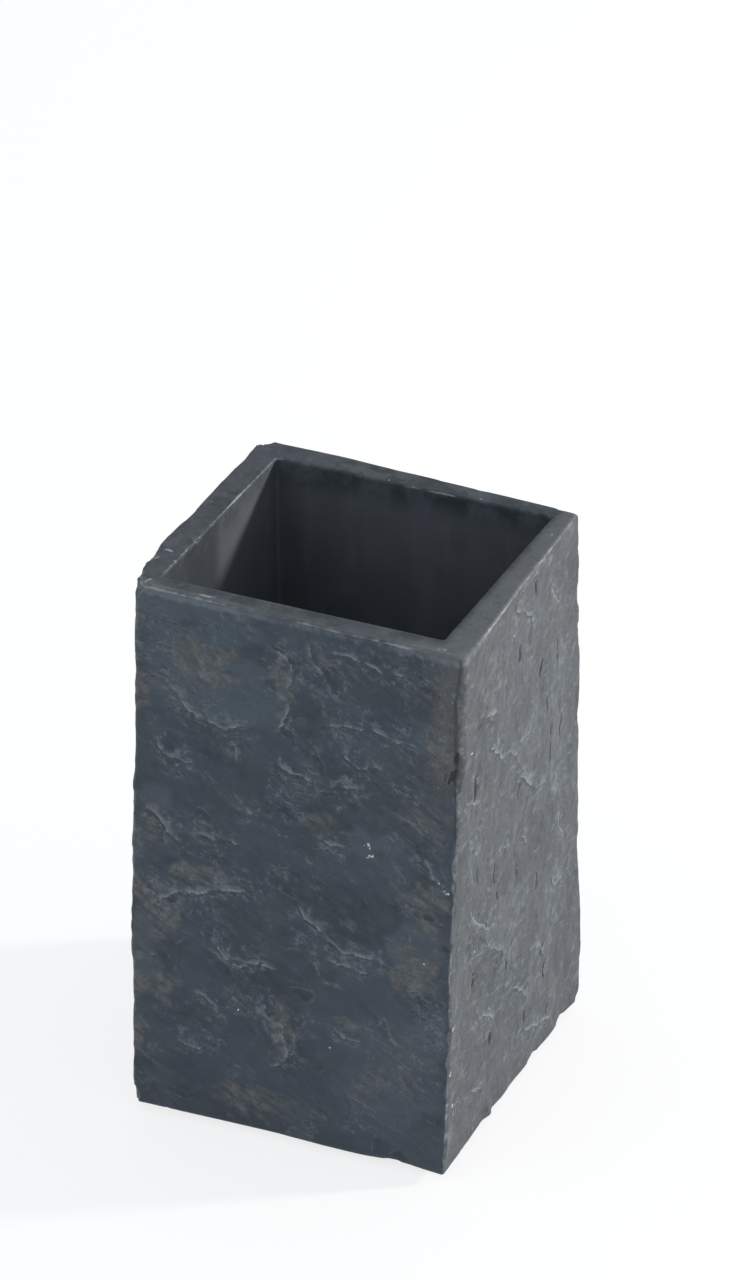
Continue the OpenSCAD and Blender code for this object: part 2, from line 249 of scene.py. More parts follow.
# Broken edges, read off the front and the right face and made up for the others: rise in mm, below
# zero where the lower side stands out, reach in mm over which the raised side sinks back, then
# points (s, t).
brokenEdges = {
    0: [
        (0.42, 6, [(7, 91), (11, 86.8), (15, 85.4), (18.7, 84.4), (22.1, 85.9), (25.7, 87)]),
        (-0.38, 3, [(29.6, 94.6), (30.6, 91), (28.9, 87.6), (27.6, 85)]),
        (-0.3, 3, [(26.5, 103.6), (30.5, 101.2), (31.2, 97.6), (29.4, 95.4)]),
        (-0.36, 3.5, [(33.5, 106), (35, 102.9), (37, 99.8), (40, 95.9)]),
        (0.2, 3, [(16, 82.6), (18.9, 82), (20.9, 80.6), (20.9, 77.2)]),
        (0.34, 5, [(27, 79.4), (30.7, 78.6), (34.3, 77.3), (38.6, 76.8), (41.4, 77.9), (44.6, 78.6)]),
        (0.3, 4, [(39, 83.6), (41.4, 84.3), (45, 82.5), (47.5, 83.9), (49.6, 82.6)]),
        (0.32, 5, [(36.5, 89.6), (42.1, 90.6), (46.4, 91), (50, 90.3), (54.3, 89.8), (57.4, 88.3)]),
        (0.42, 6, [(2, 65.2), (5.7, 62.5), (7.9, 58.9), (10.7, 58.3)]),
        (0.26, 4, [(12.4, 61.9), (16.8, 60.7), (19.3, 61.4), (22.4, 60.4)]),
        (0.16, 3, [(25.4, 56.4), (28.4, 57), (31.6, 58.3)]),
        (0.4, 6, [(3.6, 43.6), (5.7, 45.4), (9.3, 48.2), (15, 49.3), (17.9, 50.7), (23.5, 51.8)]),
        (0.42, 6, [(33, 51), (36, 48.6), (38.6, 47.9), (39.3, 46), (42.1, 43.6), (45.7, 43.9),
                   (50, 43.2), (53, 42)]),
        (0.26, 3, [(40, 41), (45.7, 40), (49.3, 40.3)]),
        (0.42, 5, [(15, 42), (16.4, 39.6), (19.3, 36.4), (22.1, 35), (25, 36.4), (26.8, 37.1),
                   (29.3, 35.7)]),
        (0.24, 3, [(18, 30.6), (19.3, 29.3), (21.9, 27.2)]),
        (0.3, 3, [(12, 27.6), (13.6, 26.8), (16.4, 25.7), (18.9, 24.6)]),
        (-0.3, 2.4, [(26.4, 29.3), (27.5, 26.4), (30, 24.3), (31.6, 20.7), (31.4, 17.1), (28.6, 14.4)]),
        (0.28, 4, [(54.4, 68), (58.6, 65.7), (60.7, 62.9), (62.4, 60.6)]),
        (0.26, 4, [(4, 79.6), (7, 76.4), (10.6, 75.4), (13, 76.4)]),
        (0.24, 3, [(22, 69.6), (25, 67.6), (28, 68.6)]),
        (0.26, 4, [(36, 66.4), (40, 64.8), (43, 66)]),
        (0.26, 4, [(8, 17), (12, 14.8), (16, 16), (18, 14.4)]),
        (0.22, 3, [(40, 26), (43.6, 24), (47, 25)]),
        (0.3, 4, [(36, 104.6), (42, 105.2), (49, 103.4), (54, 103.8)]),
    ],
    1: [
        (0.3, 4, [(8, 93.6), (10.7, 92.9), (14.3, 91.8), (17.5, 90.4)]),
        (0.4, 5, [(13, 85.4), (15, 83.9), (18.6, 81.4), (20.7, 78.9), (24.3, 78.6), (27.9, 75.7),
                  (31.4, 72.5)]),
        (0.34, 4, [(27.9, 77.9), (32.1, 77.1), (40, 77.5)]),
        (0.36, 5, [(31.4, 70), (35.7, 65.7), (41.4, 61.4), (45.7, 60.7)]),
        (0.42, 5, [(8.4, 41), (10.7, 40.4), (14.3, 39.6), (18.6, 38.6), (22.1, 36.8), (24.3, 34.6),
                   (24.6, 31)]),
        (-0.36, 3, [(7.9, 53.6), (9.6, 50.7), (11.4, 48.6), (16.4, 45), (21.4, 43)]),
        (0.26, 4, [(2.1, 79.3), (5.7, 77.1), (10.7, 75)]),
        (0.36, 4, [(25, 24.4), (26.4, 23.6), (31.4, 22.9), (36.4, 17.9), (38, 15)]),
        (-0.34, 4, [(48.6, 104.3), (50, 100.7), (52.9, 96.8), (55.6, 93.4)]),
        (0.34, 4, [(27, 106), (29.3, 105.7), (32.9, 103.6), (37.1, 101), (38, 98)]),
        (0.3, 4, [(32, 11.6), (34.3, 10.7), (42.9, 7.1), (51, 4.6)]),
        (0.34, 4, [(39, 27.4), (43.6, 24.3), (45.7, 20), (46.6, 15.4)]),
        (0.3, 3, [(14, 29), (15.6, 25), (20, 23.4), (22, 20)]),
        (0.28, 4, [(24, 58), (28, 55), (34, 54.4), (38, 51)]),
        (-0.26, 3, [(52, 60), (54, 54), (53, 47), (56, 42)]),
        (0.26, 3, [(6, 67), (10, 65), (12.6, 61)]),
        (0.3, 3, [(48, 38), (51, 34), (57, 33)]),
        (0.26, 3, [(10, 12), (15, 10), (18, 6)]),
    ],
    2: [
        (0.42, 6, [(5, 71), (13, 75.6), (22, 74), (30, 79), (34, 78)]),
        (0.36, 5, [(31, 60), (39, 57), (48, 59.4), (58, 55)]),
        (-0.34, 4, [(18, 99), (26, 95.6), (36, 98.4)]),
        (0.4, 6, [(8, 38), (18, 34), (27, 36.6), (36, 31)]),
        (0.32, 4, [(38, 22), (46, 17.6), (55, 18.6)]),
        (-0.34, 3, [(45, 93), (49, 86), (47, 77)]),
        (0.3, 4, [(6, 54), (12, 50), (19, 51)]),
        (0.26, 4, [(22, 88), (28, 85.4), (33, 87)]),
        (0.3, 4, [(50, 40), (55, 37.6), (60, 38.4)]),
        (-0.3, 3, [(24, 24), (27, 18), (25, 12)]),
        (0.24, 3, [(8, 12), (13, 10), (18, 11)]),
        (0.28, 4, [(50, 72), (54, 69), (61, 70)]),
        (0.24, 3, [(24, 46), (29, 44.4), (33, 46)]),
    ],
    3: [
        (0.42, 6, [(4, 82), (12, 78.6), (22, 80.4), (33, 76.6)]),
        (0.36, 5, [(34, 91.6), (43, 88), (54, 90.6)]),
        (0.38, 5, [(12, 50), (22, 54), (33, 50.4), (41, 52)]),
        (-0.34, 3, [(45, 73), (48, 64), (45, 55)]),
        (0.34, 5, [(7, 21.6), (18, 24.4), (26, 19.6), (37, 22.4)]),
        (0.3, 4, [(39, 36.6), (50, 33), (59, 35.6)]),
        (0.26, 4, [(10, 99), (16, 96.4), (24, 97.6)]),
        (0.3, 4, [(6, 66), (12, 63), (18, 65)]),
        (-0.28, 3, [(22, 42), (25, 36), (23, 31)]),
        (0.28, 4, [(46, 16), (52, 12), (58, 14)]),
        (0.24, 3, [(28, 66), (33, 64), (37, 67)]),
        (0.26, 4, [(8, 37), (12, 34.6), (16, 36)]),
    ],
}

# Slits where a bed has opened: s, t at the foot, t at the head, width, depth.
slits = {
    0: [(62.0, 83.6, 87.2, 0.4, 0.5), (62.3, 87.8, 91.6, 0.45, 0.6)],
    1: [(31.0, 94, 97.6, 0.7, 0.6), (39.4, 104.4, 107.4, 0.8, 0.6), (43.2, 84.6, 88.6, 0.6, 0.55),
        (45.8, 75.2, 79.4, 0.6, 0.55), (48.2, 63.6, 72.4, 0.6, 0.6), (7.6, 77, 82.2, 0.8, 0.6),
        (13.6, 32.8, 36, 1.0, 0.55), (21.4, 70.4, 73.8, 0.5, 0.4), (32.1, 63.6, 67.4, 0.5, 0.4),
        (32.5, 46.6, 49.4, 0.5, 0.4), (41.8, 38.8, 42.4, 0.6, 0.55), (43.6, 22.4, 25.6, 0.6, 0.5),
        (46.1, 16, 19.8, 0.6, 0.5), (36.8, 11.6, 14.2, 0.8, 0.45), (47.5, 6.6, 9.4, 0.6, 0.4),
        (20, 16.8, 19.2, 0.9, 0.45), (21.1, 51.6, 56, 0.5, 0.35), (22.9, 47, 50.2, 0.7, 0.4),
        (12.4, 56, 60, 0.5, 0.3), (54.4, 66, 71, 0.5, 0.35), (26.6, 29, 32, 0.5, 0.35),
        (52, 84, 89, 0.5, 0.3)],
    2: [(14, 84, 89, 0.6, 0.5), (40, 68, 73, 0.6, 0.5), (52, 26, 31, 0.6, 0.5), (20, 14, 18, 0.8, 0.4),
        (34, 40, 43, 0.5, 0.4)],
    3: [(20, 62, 66, 0.6, 0.45), (50, 44, 49, 0.6, 0.5), (30, 30, 33, 0.7, 0.4), (40, 99, 103, 0.6, 0.4),
        (56, 74, 78, 0.5, 0.4)],
}

# Brown wash left in the lows and on worn places: s, t, half width, half height, strength.
washes = {
    0: [(6, 43, 5, 7, 1.0), (6, 27, 4, 4, 0.9), (14, 53, 7, 3, 0.9), (24, 6, 10, 4, 0.8),
        (57.5, 44, 5.5, 8, 1.0), (58, 76, 6, 5.5, 0.5), (59, 91.5, 4.5, 6, 0.6), (14.5, 99, 7, 4, 1.0),
        (3, 60, 2.5, 5, 0.8), (30.5, 23, 2.6, 8, 0.9), (30, 97, 3, 6, 0.8), (45, 101, 7, 3.6, 0.25),
        (55, 101, 4.5, 4, 0.3), (60, 57, 4, 6, 1.0), (1, 30, 1.8, 10, 0.8), (1.2, 58, 1.2, 3, 0.9),
        (1.6, 48, 1.6, 4, 1.0), (1, 15, 1.5, 6, 0.8), (37, 69, 4, 3, 0.6), (48, 13, 6, 4, 0.4),
        (56, 58, 6, 4, 0.6), (56, 20, 5, 8, 0.35), (2, 88, 1.6, 6, 0.7), (1.2, 102.5, 1.2, 3, 0.9),
        (1.2, 96.6, 0.9, 1.8, 0.9), (0.5, 92, 1.2, 16, 0.7), (14, 95, 7, 3.5, 1.0), (7, 91, 4, 3, 0.7),
        (61.5, 95, 4, 14, 0.5), (60.5, 71, 3, 6, 0.45), (50, 18, 4, 7, 0.35)],
    1: [(14, 99, 10, 7, 0.7), (30, 104, 6, 4, 0.7), (8, 76, 6, 8, 0.4), (28, 72, 8, 5, 0.35),
        (6, 52, 4, 8, 0.5), (16, 30, 7, 7, 0.3), (50, 12, 8, 4, 0.3), (4, 22, 3, 10, 0.5),
        (1, 95, 2.5, 14, 0.9)],
    2: [(12, 80, 7, 6, 0.8), (44, 52, 8, 5, 0.8), (20, 30, 7, 5, 0.8), (52, 14, 7, 5, 0.7),
        (30, 102, 8, 3, 0.6), (58, 84, 4, 8, 0.7)],
    3: [(16, 84, 8, 5, 0.8), (46, 70, 6, 7, 0.8), (24, 22, 8, 5, 0.8), (56, 38, 5, 7, 0.7),
        (8, 56, 4, 7, 0.6), (36, 98, 8, 4, 0.6)],
}

# Paler plates of the blue stain, and deep calm ones below zero: s, t, half width, half height, strength.
tones = {
    0: [(20, 93, 12, 8, 0.9), (6, 96, 6, 8, 0.6), (12, 105, 17, 5, 1.0), (44, 101, 17, 5, -1.4),
        (10, 91, 6, 4, 0.9), (1.5, 104, 2.5, 4, 0.9), (57, 47, 6, 6, 1.4), (61, 31, 3, 7, 0.9),
        (57, 92, 4, 4, 0.7), (46, 67, 4, 4, 0.7), (2.5, 33, 3.5, 10, 1.0), (1, 57, 2, 6, 0.8),
        (58, 27, 4, 5, 0.5), (7, 77, 4, 4, -0.6), (52, 66, 6, 6, 0.6), (52, 18, 13, 16, 0.55),
        (45, 87, 6, 3, 0.5), (22, 16, 8, 10, 0.3), (5, 67, 5, 3, 0.7), (46, 44, 6, 3, 0.4),
        (50, 79, 12, 6, -0.9), (39, 53, 14, 6, -0.8), (24, 44, 12, 4, -0.6), (49, 99, 10, 9, -0.5),
        (30, 30, 6, 10, -0.5), (38, 80, 10, 8, -0.4), (26, 73, 8, 5, -0.4), (12, 22, 9, 7, -0.4)],
    1: [(2.5, 86, 2.5, 3, 0.5), (4, 80, 4, 5, -0.5), (6, 54, 7, 14, -1.6), (4, 32, 4, 7, -1.4),
        (12, 99, 8, 6, -0.8), (53, 72, 7, 26, 0.5), (6, 64, 5, 7, -0.6), (27, 80, 8, 6, -0.7),
        (36, 92, 5, 5, 0.5), (32, 100, 7, 4, 0.3), (35, 73, 12, 9, 0.4), (46, 100, 12, 8, 0.3),
        (8, 28, 6, 8, -0.5), (8, 60, 5, 10, -0.3), (29, 38, 10, 13, 0.5), (52, 32, 8, 12, 0.35),
        (20, 10, 12, 6, -0.2)],
    2: [(20, 66, 12, 8, 0.7), (46, 30, 10, 10, 0.6), (44, 84, 10, 7, -0.7), (16, 40, 9, 9, -0.7)],
    3: [(40, 84, 12, 8, 0.7), (16, 34, 10, 10, 0.6), (46, 52, 10, 8, -0.7), (14, 72, 9, 8, -0.7)],
}

# Places that stand out more than the block's own waves, or lie deeper, below zero: s, t, half width,
# half height, rise in mm.
humps = {
    0: [],
    1: [(21, 0.8, 1.2, 1.8, 0.8), (44, 1.5, 5, 2.6, -0.55), (27, 1.0, 3.5, 2.4, 0.35)],
    2: [(60, 108, 5, 5, -0.2), (40, 1.0, 1.4, 1.4, 0.5)],
    3: [(38, 110, 14, 9, 0.62), (3, 109, 4, 5, 0.6), (10, 110, 3, 4, -0.25)],
}

# White chips where the paint has gone to the filler: s, t, radius.
chips = {
    0: [(45.9, 67.3, 0.24), (46.4, 67.1, 0.32), (46.9, 66.8, 0.32), (47.3, 66.3, 0.3), (47.1, 64.5, 0.28),
        (47.5, 64.6, 0.32), (47.9, 64.9, 0.34), (48.2, 65.2, 0.26), (61.0, 62.8, 0.3), (61.8, 62.0, 0.22),
        (62.3, 61.2, 0.3), (62.9, 60.6, 0.32), (21.8, 25.8, 0.3), (57.4, 79.2, 0.35), (23.5, 9.6, 0.3),
        (37.6, 29.2, 0.3), (40, 21.6, 0.3), (59, 44.8, 0.35)],
    1: [(1.6, 91.4, 0.45), (2.2, 89.8, 0.35), (5.4, 88, 0.35), (3, 13.6, 0.45), (3.6, 11.6, 0.35),
        (1.6, 31, 0.35), (1.2, 21.6, 0.4), (12, 42, 0.3), (27.6, 101.6, 0.4)],
    2: [(20, 60, 0.4), (44, 90, 0.35), (10, 20, 0.35)],
    3: [(30, 70, 0.4), (52, 24, 0.35), (12, 90, 0.35)],
}


def brokenEdge(points, s, t):
    # signed distance to a broken line (above zero over it), and how alive the line is there
    pts = np.array(points, float)
    lengths = np.hypot(*(pts[1:] - pts[:-1]).T)
    runs = np.concatenate([[0], np.cumsum(lengths)])
    best = np.full(s.shape, 1e9)
    signed = np.zeros(s.shape)
    alive = np.zeros(s.shape)
    for n, size in enumerate(lengths):
        way = (pts[n + 1] - pts[n]) / size
        ds, dt = s - pts[n][0], t - pts[n][1]
        run = ds * way[0] + dt * way[1]
        over = way[0] * dt - way[1] * ds
        inside = np.clip(run, 0, size)
        distance = np.hypot(run - inside, over)
        beyond = np.zeros(s.shape)
        side = np.where(over < 0, -distance, distance)
        if n == 0:
            beyond = np.maximum(beyond, -run)
            side = np.where(run < 0, over, side)
        if n == len(lengths) - 1:
            beyond = np.maximum(beyond, run - size)
            side = np.where(run > size, over, side)
        where = runs[n] + inside
        ends = np.minimum(where, runs[-1] - where)
        closer = distance < best
        best = np.where(closer, distance, best)
        signed = np.where(closer, side, signed)
        alive = np.where(closer, smooth(-0.6, 2.6, ends) * smooth(1.6, 0, beyond), alive)
    return signed, alive


def keepStronger(marks, strength, side):
    # where two marks meet, the stronger one says how far its line is
    stronger = strength > marks[0]
    return np.where(stronger, strength, marks[0]), np.where(stronger, side, marks[1])


def riveFace(k):
    # adds the split surface to face k and works out what the paint does on it
    width = rightTips[k] - leftTips[k]
    s = (mapS - leftTips[k][:, None]) / width[:, None] * block["faceWidth"]
    t = mapT

    def noise(across, up, number, octaves=4, keep=0.5, at=(s, t)):
        # one of this face's own patterns, its slowest waves so many mm across and up
        return layeredNoise(at[0] / across, at[1] / up, 40 + 100 * k + number, octaves, keep)

    every = slate["raggedEvery"]
    warpS = s + slate["ragged"] * noise(every, every, 1) + 0.15 * noise(1.3, 1.3, 2, 2)
    warpT = t + slate["ragged"] * noise(every, every, 5) + 0.15 * noise(1.3, 1.3, 6, 2)
    turn = math.radians(slate["lean"][k])
    grainS = s * math.cos(turn) + t * math.sin(turn)
    grainT = -s * math.sin(turn) + t * math.cos(turn)

    plain = faceMaps[k]
    detail = plain - blur(plain, 7 / block["step"])      # the CAD's own relief, finer than 7 mm
    bend = slate["bend"] * noise(slate["bendEvery"], slate["bendEvery"], 11, 3)
    bentS, bentT = grainS + bend, grainT + bend
    swell = noise(slate["swellAcross"], slate["swellUp"], 15, 5, 0.52, (bentS, bentT))
    swell = slate["swell"] * swell

    # drawn broken edges, with a scar under the lip where the bed tore
    ledges = np.zeros(s.shape)
    rips = np.zeros(s.shape), np.full(s.shape, 3.0)
    lively = np.zeros(s.shape)
    for rise, reach, points in brokenEdges[k]:
        signed, alive = brokenEdge(points, warpS, warpT)
        if rise < 0:
            signed = -signed
        height = abs(rise) * slate["ledge"]
        lip = smooth(-0.25, 0.25, signed)
        raised = np.exp(-np.maximum(signed, 0) / reach)
        scar = -0.3 * np.exp(np.minimum(signed, 0) / 1.4) * (1 - lip)
        ledges += alive * height * (lip * raised + scar)
        near = alive * smooth(2.8, 1.6, abs(signed)) * min(1, abs(rise) / 0.36)
        rips = keepStronger(rips, near, signed)
        lively = np.maximum(lively, alive * np.exp(-(signed / 3.2) ** 2))

    # beds: the same waves cut into steps, crisp only in places
    whole = detail + swell + 0.5 * ledges
    bed = slate["bed"]
    levels = whole / bed + 40                # 40 beds up, so that they count from above zero
    down, over = np.gradient(whole / bed, block["step"])
    pace = np.maximum(np.hypot(down, over), 0.02)        # beds to a mm
    part = levels - np.floor(levels)
    riser = smooth(slate["brokenEdge"], 0, (1 - part) / pace)
    stepped = bed * (np.floor(levels) + riser - levels)
    crisp = smooth(-0.12, 0.3, noise(10, 8, 21, 3))
    beds = stepped * crisp

    flakes = noise(slate["flakeAcross"], slate["flakeUp"], 31, 4, 0.55, (bentS, grainT))
    flakes = slate["flake"] * (1 - 1.6 * abs(flakes)) * smooth(-0.25, 0.35, noise(12, 12, 36, 2))
    tooth = slate["tooth"] * noise(1.3, 1.3, 41, 2)

    cuts = np.zeros(s.shape)
    opened = np.zeros(s.shape), np.full(s.shape, 4.0)
    sway = 0.8 * noise(5, 1.8, 51, 3)
    for place, foot, head, wide, depth in slits[k]:
        lean = place + sway + (t - (foot + head) / 2) * 0.08     # a little to the right
        side = (s - lean) / (wide * slate["slit"])
        long = smooth(foot - 0.7, foot + 0.9, t) * smooth(head + 0.7, head - 0.9, t)
        cuts -= depth * smooth(0.8, 0.1, abs(side)) * long
        opened = keepStronger(opened, long * smooth(4, 2.4, abs(side)), side)

    # the slate settles to the edges, the rim and the ground base
    settle = np.minimum(smooth(-1.5, 3.5, t), smooth(111.5, 106.5, t))
    relief = swell * (0.35 + 0.65 * settle) + settle * (ledges + beds + flakes) + tooth + cuts
    for ps, pt, rs, rt, rise in humps[k]:
        relief += rise * np.exp(-((s - ps) / rs) ** 2 - ((t - pt) / rt) ** 2)
    total = plain + relief + slate["proud"]
    faceMaps[k] = blur(total, 0.6)

    # how proud or sunk a place is among its neighbours
    fine = total - blur(total, 0.8 / block["step"])
    broad = total - blur(total, 2.6 / block["step"])
    proudness = 0.5 * fine / fine.std() + 0.5 * broad / broad.std()

    def patches(table, stray, outside, inside):
        # each patch of a table by itself, with its outline strayed by noise
        for ps, pt, rs, rt, strength in table[k]:
            far = np.hypot((warpS - ps) / rs, (warpT - pt) / rt) + stray
            yield strength * smooth(outside, inside, far)

    wash = 0.5 * smooth(0.22, 0.5, noise(8, 5, 65))
    for patch in patches(washes, slate["strayWash"] * noise(3.6, 2.4, 61), 1.15, 0.35):
        wash = np.maximum(wash, patch)
    tone = sum(patches(tones, slate["strayTone"] * noise(5.5, 4.0, 71), 1.2, 0.5))
    # both flanks are painted greyer than the front and back: partly their crumbly grain, partly painted
    # sheen
    bareAndSheen = np.full(s.shape, float(k in (1, 3)))
    if k == 0:
        # the blunt upper part of the front right edge is rubbed barer still than the flank beside it
        bareAndSheen = 1.8 * smooth(56.6, 60.6, s + 1.1 * noise(1.2, 6, 81, 3)) * smooth(78, 86, t)
    fleck = np.zeros(s.shape)
    for ps, pt, radius in chips[k]:
        fleck = np.maximum(fleck, smooth(radius * 2.2, radius * 0.3, np.hypot(s - ps, t - pt)))
    return {
        "proudness": np.clip(proudness, -4, 4), "wash": wash, "fleck": fleck, "bareAndSheen": bareAndSheen,
        "tone": np.clip(tone, -1, 1), "lively": np.maximum(lively, 0.8 * np.clip(tone, 0, 1)),
        "slitSide": np.clip(opened[1], -4, 4), "slitStrength": opened[0],
        "ripSide": np.clip(rips[1], -3, 3), "ripStrength": rips[0],
        "beds": levels, "bedPace": np.clip(pace, 0.02, 3), "bedCrisp": crisp * settle,
    }


facePaint = [riveFace(k) for k in range(4)]
paintNames = list(facePaint[0])
print("faces riven")

# Sizes of the casting's edges, rim, cavity and base, and how close the rows of its mesh lie.
casting = {
    "acrossFace": 99,        # columns over a face
    "roundEdge": 5,          # columns round the edge after it
    "rows": 181,             # rows up the skin
    "firstRow": 0.4,         # height of the lowest of them
    "edgeRadius": 0.45,      # of the upright edges
    "edgeStray": 0.2,        # how much that radius wanders
    "wearReach": 0.35,       # how far the wear of those edges reaches onto the faces
    "rimSlope": 0.42,        # how far in the rim's outer edge is broken, wider where it is worn
    "rimDrop": 0.9,          # how far down it starts
    "rimWave": 0.10,         # the rim isn't quite flat, nor are the walls
    "mouth": (28.25, 25.1),  # half sizes of the cavity under its broken edge
    "mouthAt": (-0.3, 0.45),  # its middle
    "mouthBreak": 0.3,       # how far its edge is broken outwards
    "mouthDrop": 0.09,       # how far that edge has worn down
    "mouthRadius": 0.8,
    "wallDraft": 1.258,      # how much the walls close in down to the floor
    "wallFoot": 9.5,         # height of the wall's foot over the base
    "floor": 7.0,
    "wallWave": 0.10,
    "baseBreak": 0.25,       # how far the edge of the ground base is broken inwards
    # rows of points, as shares of the way: over the base, over the rim, round the bevel, over the floor
    "baseRings": (0.12, 0.34, 0.58, 0.80, 0.93),
    "rimRings": (0.05, 0.12, 0.2, 0.3, 0.4, 0.5, 0.6, 0.7, 0.8, 0.9),
    "bevelRings": (0.35, 0.7, 1.0),
    "floorRings": (0.82, 0.55, 0.27),
    "wallDepths": (0.3, 0.7, 1.3),   # rows under the mouth, where the wall's rows are close
    "wallRows": 21,
}
span = casting["acrossFace"] + casting["roundEdge"]      # columns from a face's start to the next's
columns = 4 * span
roundShare = (np.arange(casting["roundEdge"]) + 1) / (casting["roundEdge"] + 1)
riven, even, sanded = range(3)   # the casting's three finishes, in the order of its materials
unmarked = 3.0                   # mm to the nearest mark on the rim where there is none

# The upright edge after each face, at heights up it: height, extra radius, how worn it is.
uprights = {
    0: [(0, 0.0, 1.0), (12, 0.1, 1.1), (40, 0.1, 1.0), (60, 0.1, 1.1), (78, 0.5, 0.9), (84, 1.7, 0.75),
        (92, 2.3, 0.7), (102, 2.1, 0.7), (107, 1.5, 0.8), (110, 1.1, 0.9)],
    1: [(0, 0.3, 0.6), (30, 0.2, 0.75), (60, 0.5, 0.6), (90, 0.3, 0.8), (110, 0.4, 0.8)],
    2: [(0, 0.2, 0.8), (50, 0.4, 0.6), (100, 0.6, 0.8), (110, 0.9, 0.8)],
    3: [(0, 0.8, 0.8), (6, 0.3, 1.0), (40, 0.2, 1.05), (58, 0.5, 0.95), (66, 0.4, 0.7), (90, 0.2, 0.7),
        (110, 0.8, 0.9)],
}


def readPlace(grid, s, t):
    return readMap(grid, np.array([s]), np.array([t]))[0]


def edgeNoise(up, row, seed):
    return layeredNoise(np.array([up]), np.array([row]), seed, 3)[0]


def roundEdge(last, tip, first):
    # points on a curve from the last one of a face to the first one of the next
    u = roundShare[:, None]
    return last * (1 - u) ** 2 + tip * 2 * u * (1 - u) + first * u ** 2


def skinRow(t, tuck=0.0):
    # one row of points round the block at height t, drawn in by tuck, with the paint at each
    count = casting["acrossFace"]
    ends, radii, worn = [], [], []
    for k in range(4):
        # corner of the section after face k
        near = readPlace(faceMaps[k], block["cornerAt"], t)
        far = readPlace(faceMaps[(k + 1) % 4], -block["cornerAt"], t)
        ends.append((far - tuck, near - tuck))
        heights, blunts, wears = zip(*uprights[k])
        stray = casting["edgeStray"] * edgeNoise(t / 4.0, k * 3.7, 900 + k)
        radii.append(casting["edgeRadius"] + np.interp(t, heights, blunts) + stray)
        worn.append(np.interp(t, heights, wears) + 0.4 * edgeNoise(t / 7.0, k * 5.1, 950 + k))
    points, paint, edge = [], [], []
    for k in range(4):
        before, after = (k - 1) % 4, (k + 1) % 4
        start = -ends[before][1] + radii[before]
        stop = ends[k][0] - radii[k]
        s = np.linspace(start, stop, count)
        level = np.full(count, t)
        out = readMap(faceMaps[k], s, level) - tuck
        row = alongFace[k] * s[:, None] + outward[k] * out[:, None]
        marks = np.stack([readMap(facePaint[k][name], s, level) for name in paintNames], 1)
        toEdge = np.minimum(s - start + 0.7 * radii[before], stop - s + 0.7 * radii[k])
        nearer = np.where(np.arange(count) < count / 2, worn[before], worn[k])
        # round the edge on a curve from this face to the next
        begin = -ends[k][1] + radii[k]
        outNext = readPlace(faceMaps[after], begin, t) - tuck
        first = alongFace[after] * begin + outward[after] * outNext
        tip = outward[after] * ends[k][0] + outward[k] * ends[k][1]
        ahead = np.array([readPlace(facePaint[after][name], begin, t) for name in paintNames])
        blend = marks[-1] * (1 - roundShare[:, None]) + ahead * roundShare[:, None]
        blend[:, paintNames.index("bedCrisp")] = 0
        points += [row, roundEdge(row[-1], tip, first)]
        paint += [marks, blend]
        edge.append(np.exp(-np.maximum(toEdge, 0) / casting["wearReach"]) * 0.7 * nearer)
        edge.append((1.05 - 0.5 * abs(roundShare - 0.5)) * worn[k])
    return np.concatenate(points), np.concatenate(paint), np.concatenate(edge)


def mouthLoop(tuck):
    # the cavity's outline with as many points as the skin, drawn in by tuck
    halfX, halfY = (size - tuck for size in casting["mouth"])
    radius = casting["mouthRadius"]
    sizes = [(halfX, halfY), (halfY, halfX)] * 2
    points = []
    for k in range(4):
        after = (k + 1) % 4
        half, out = sizes[k]
        s = np.linspace(radius - half, half - radius, casting["acrossFace"])
        points.append(alongFace[k] * s[:, None] + outward[k] * out)
        last = alongFace[k] * (half - radius) + outward[k] * out
        tip = outward[after] * sizes[after][1] + outward[k] * out
        first = alongFace[after] * (radius - sizes[after][0]) + outward[after] * sizes[after][1]
        points.append(roundEdge(last, tip, first))
    return np.concatenate(points) + np.array(casting["mouthAt"])


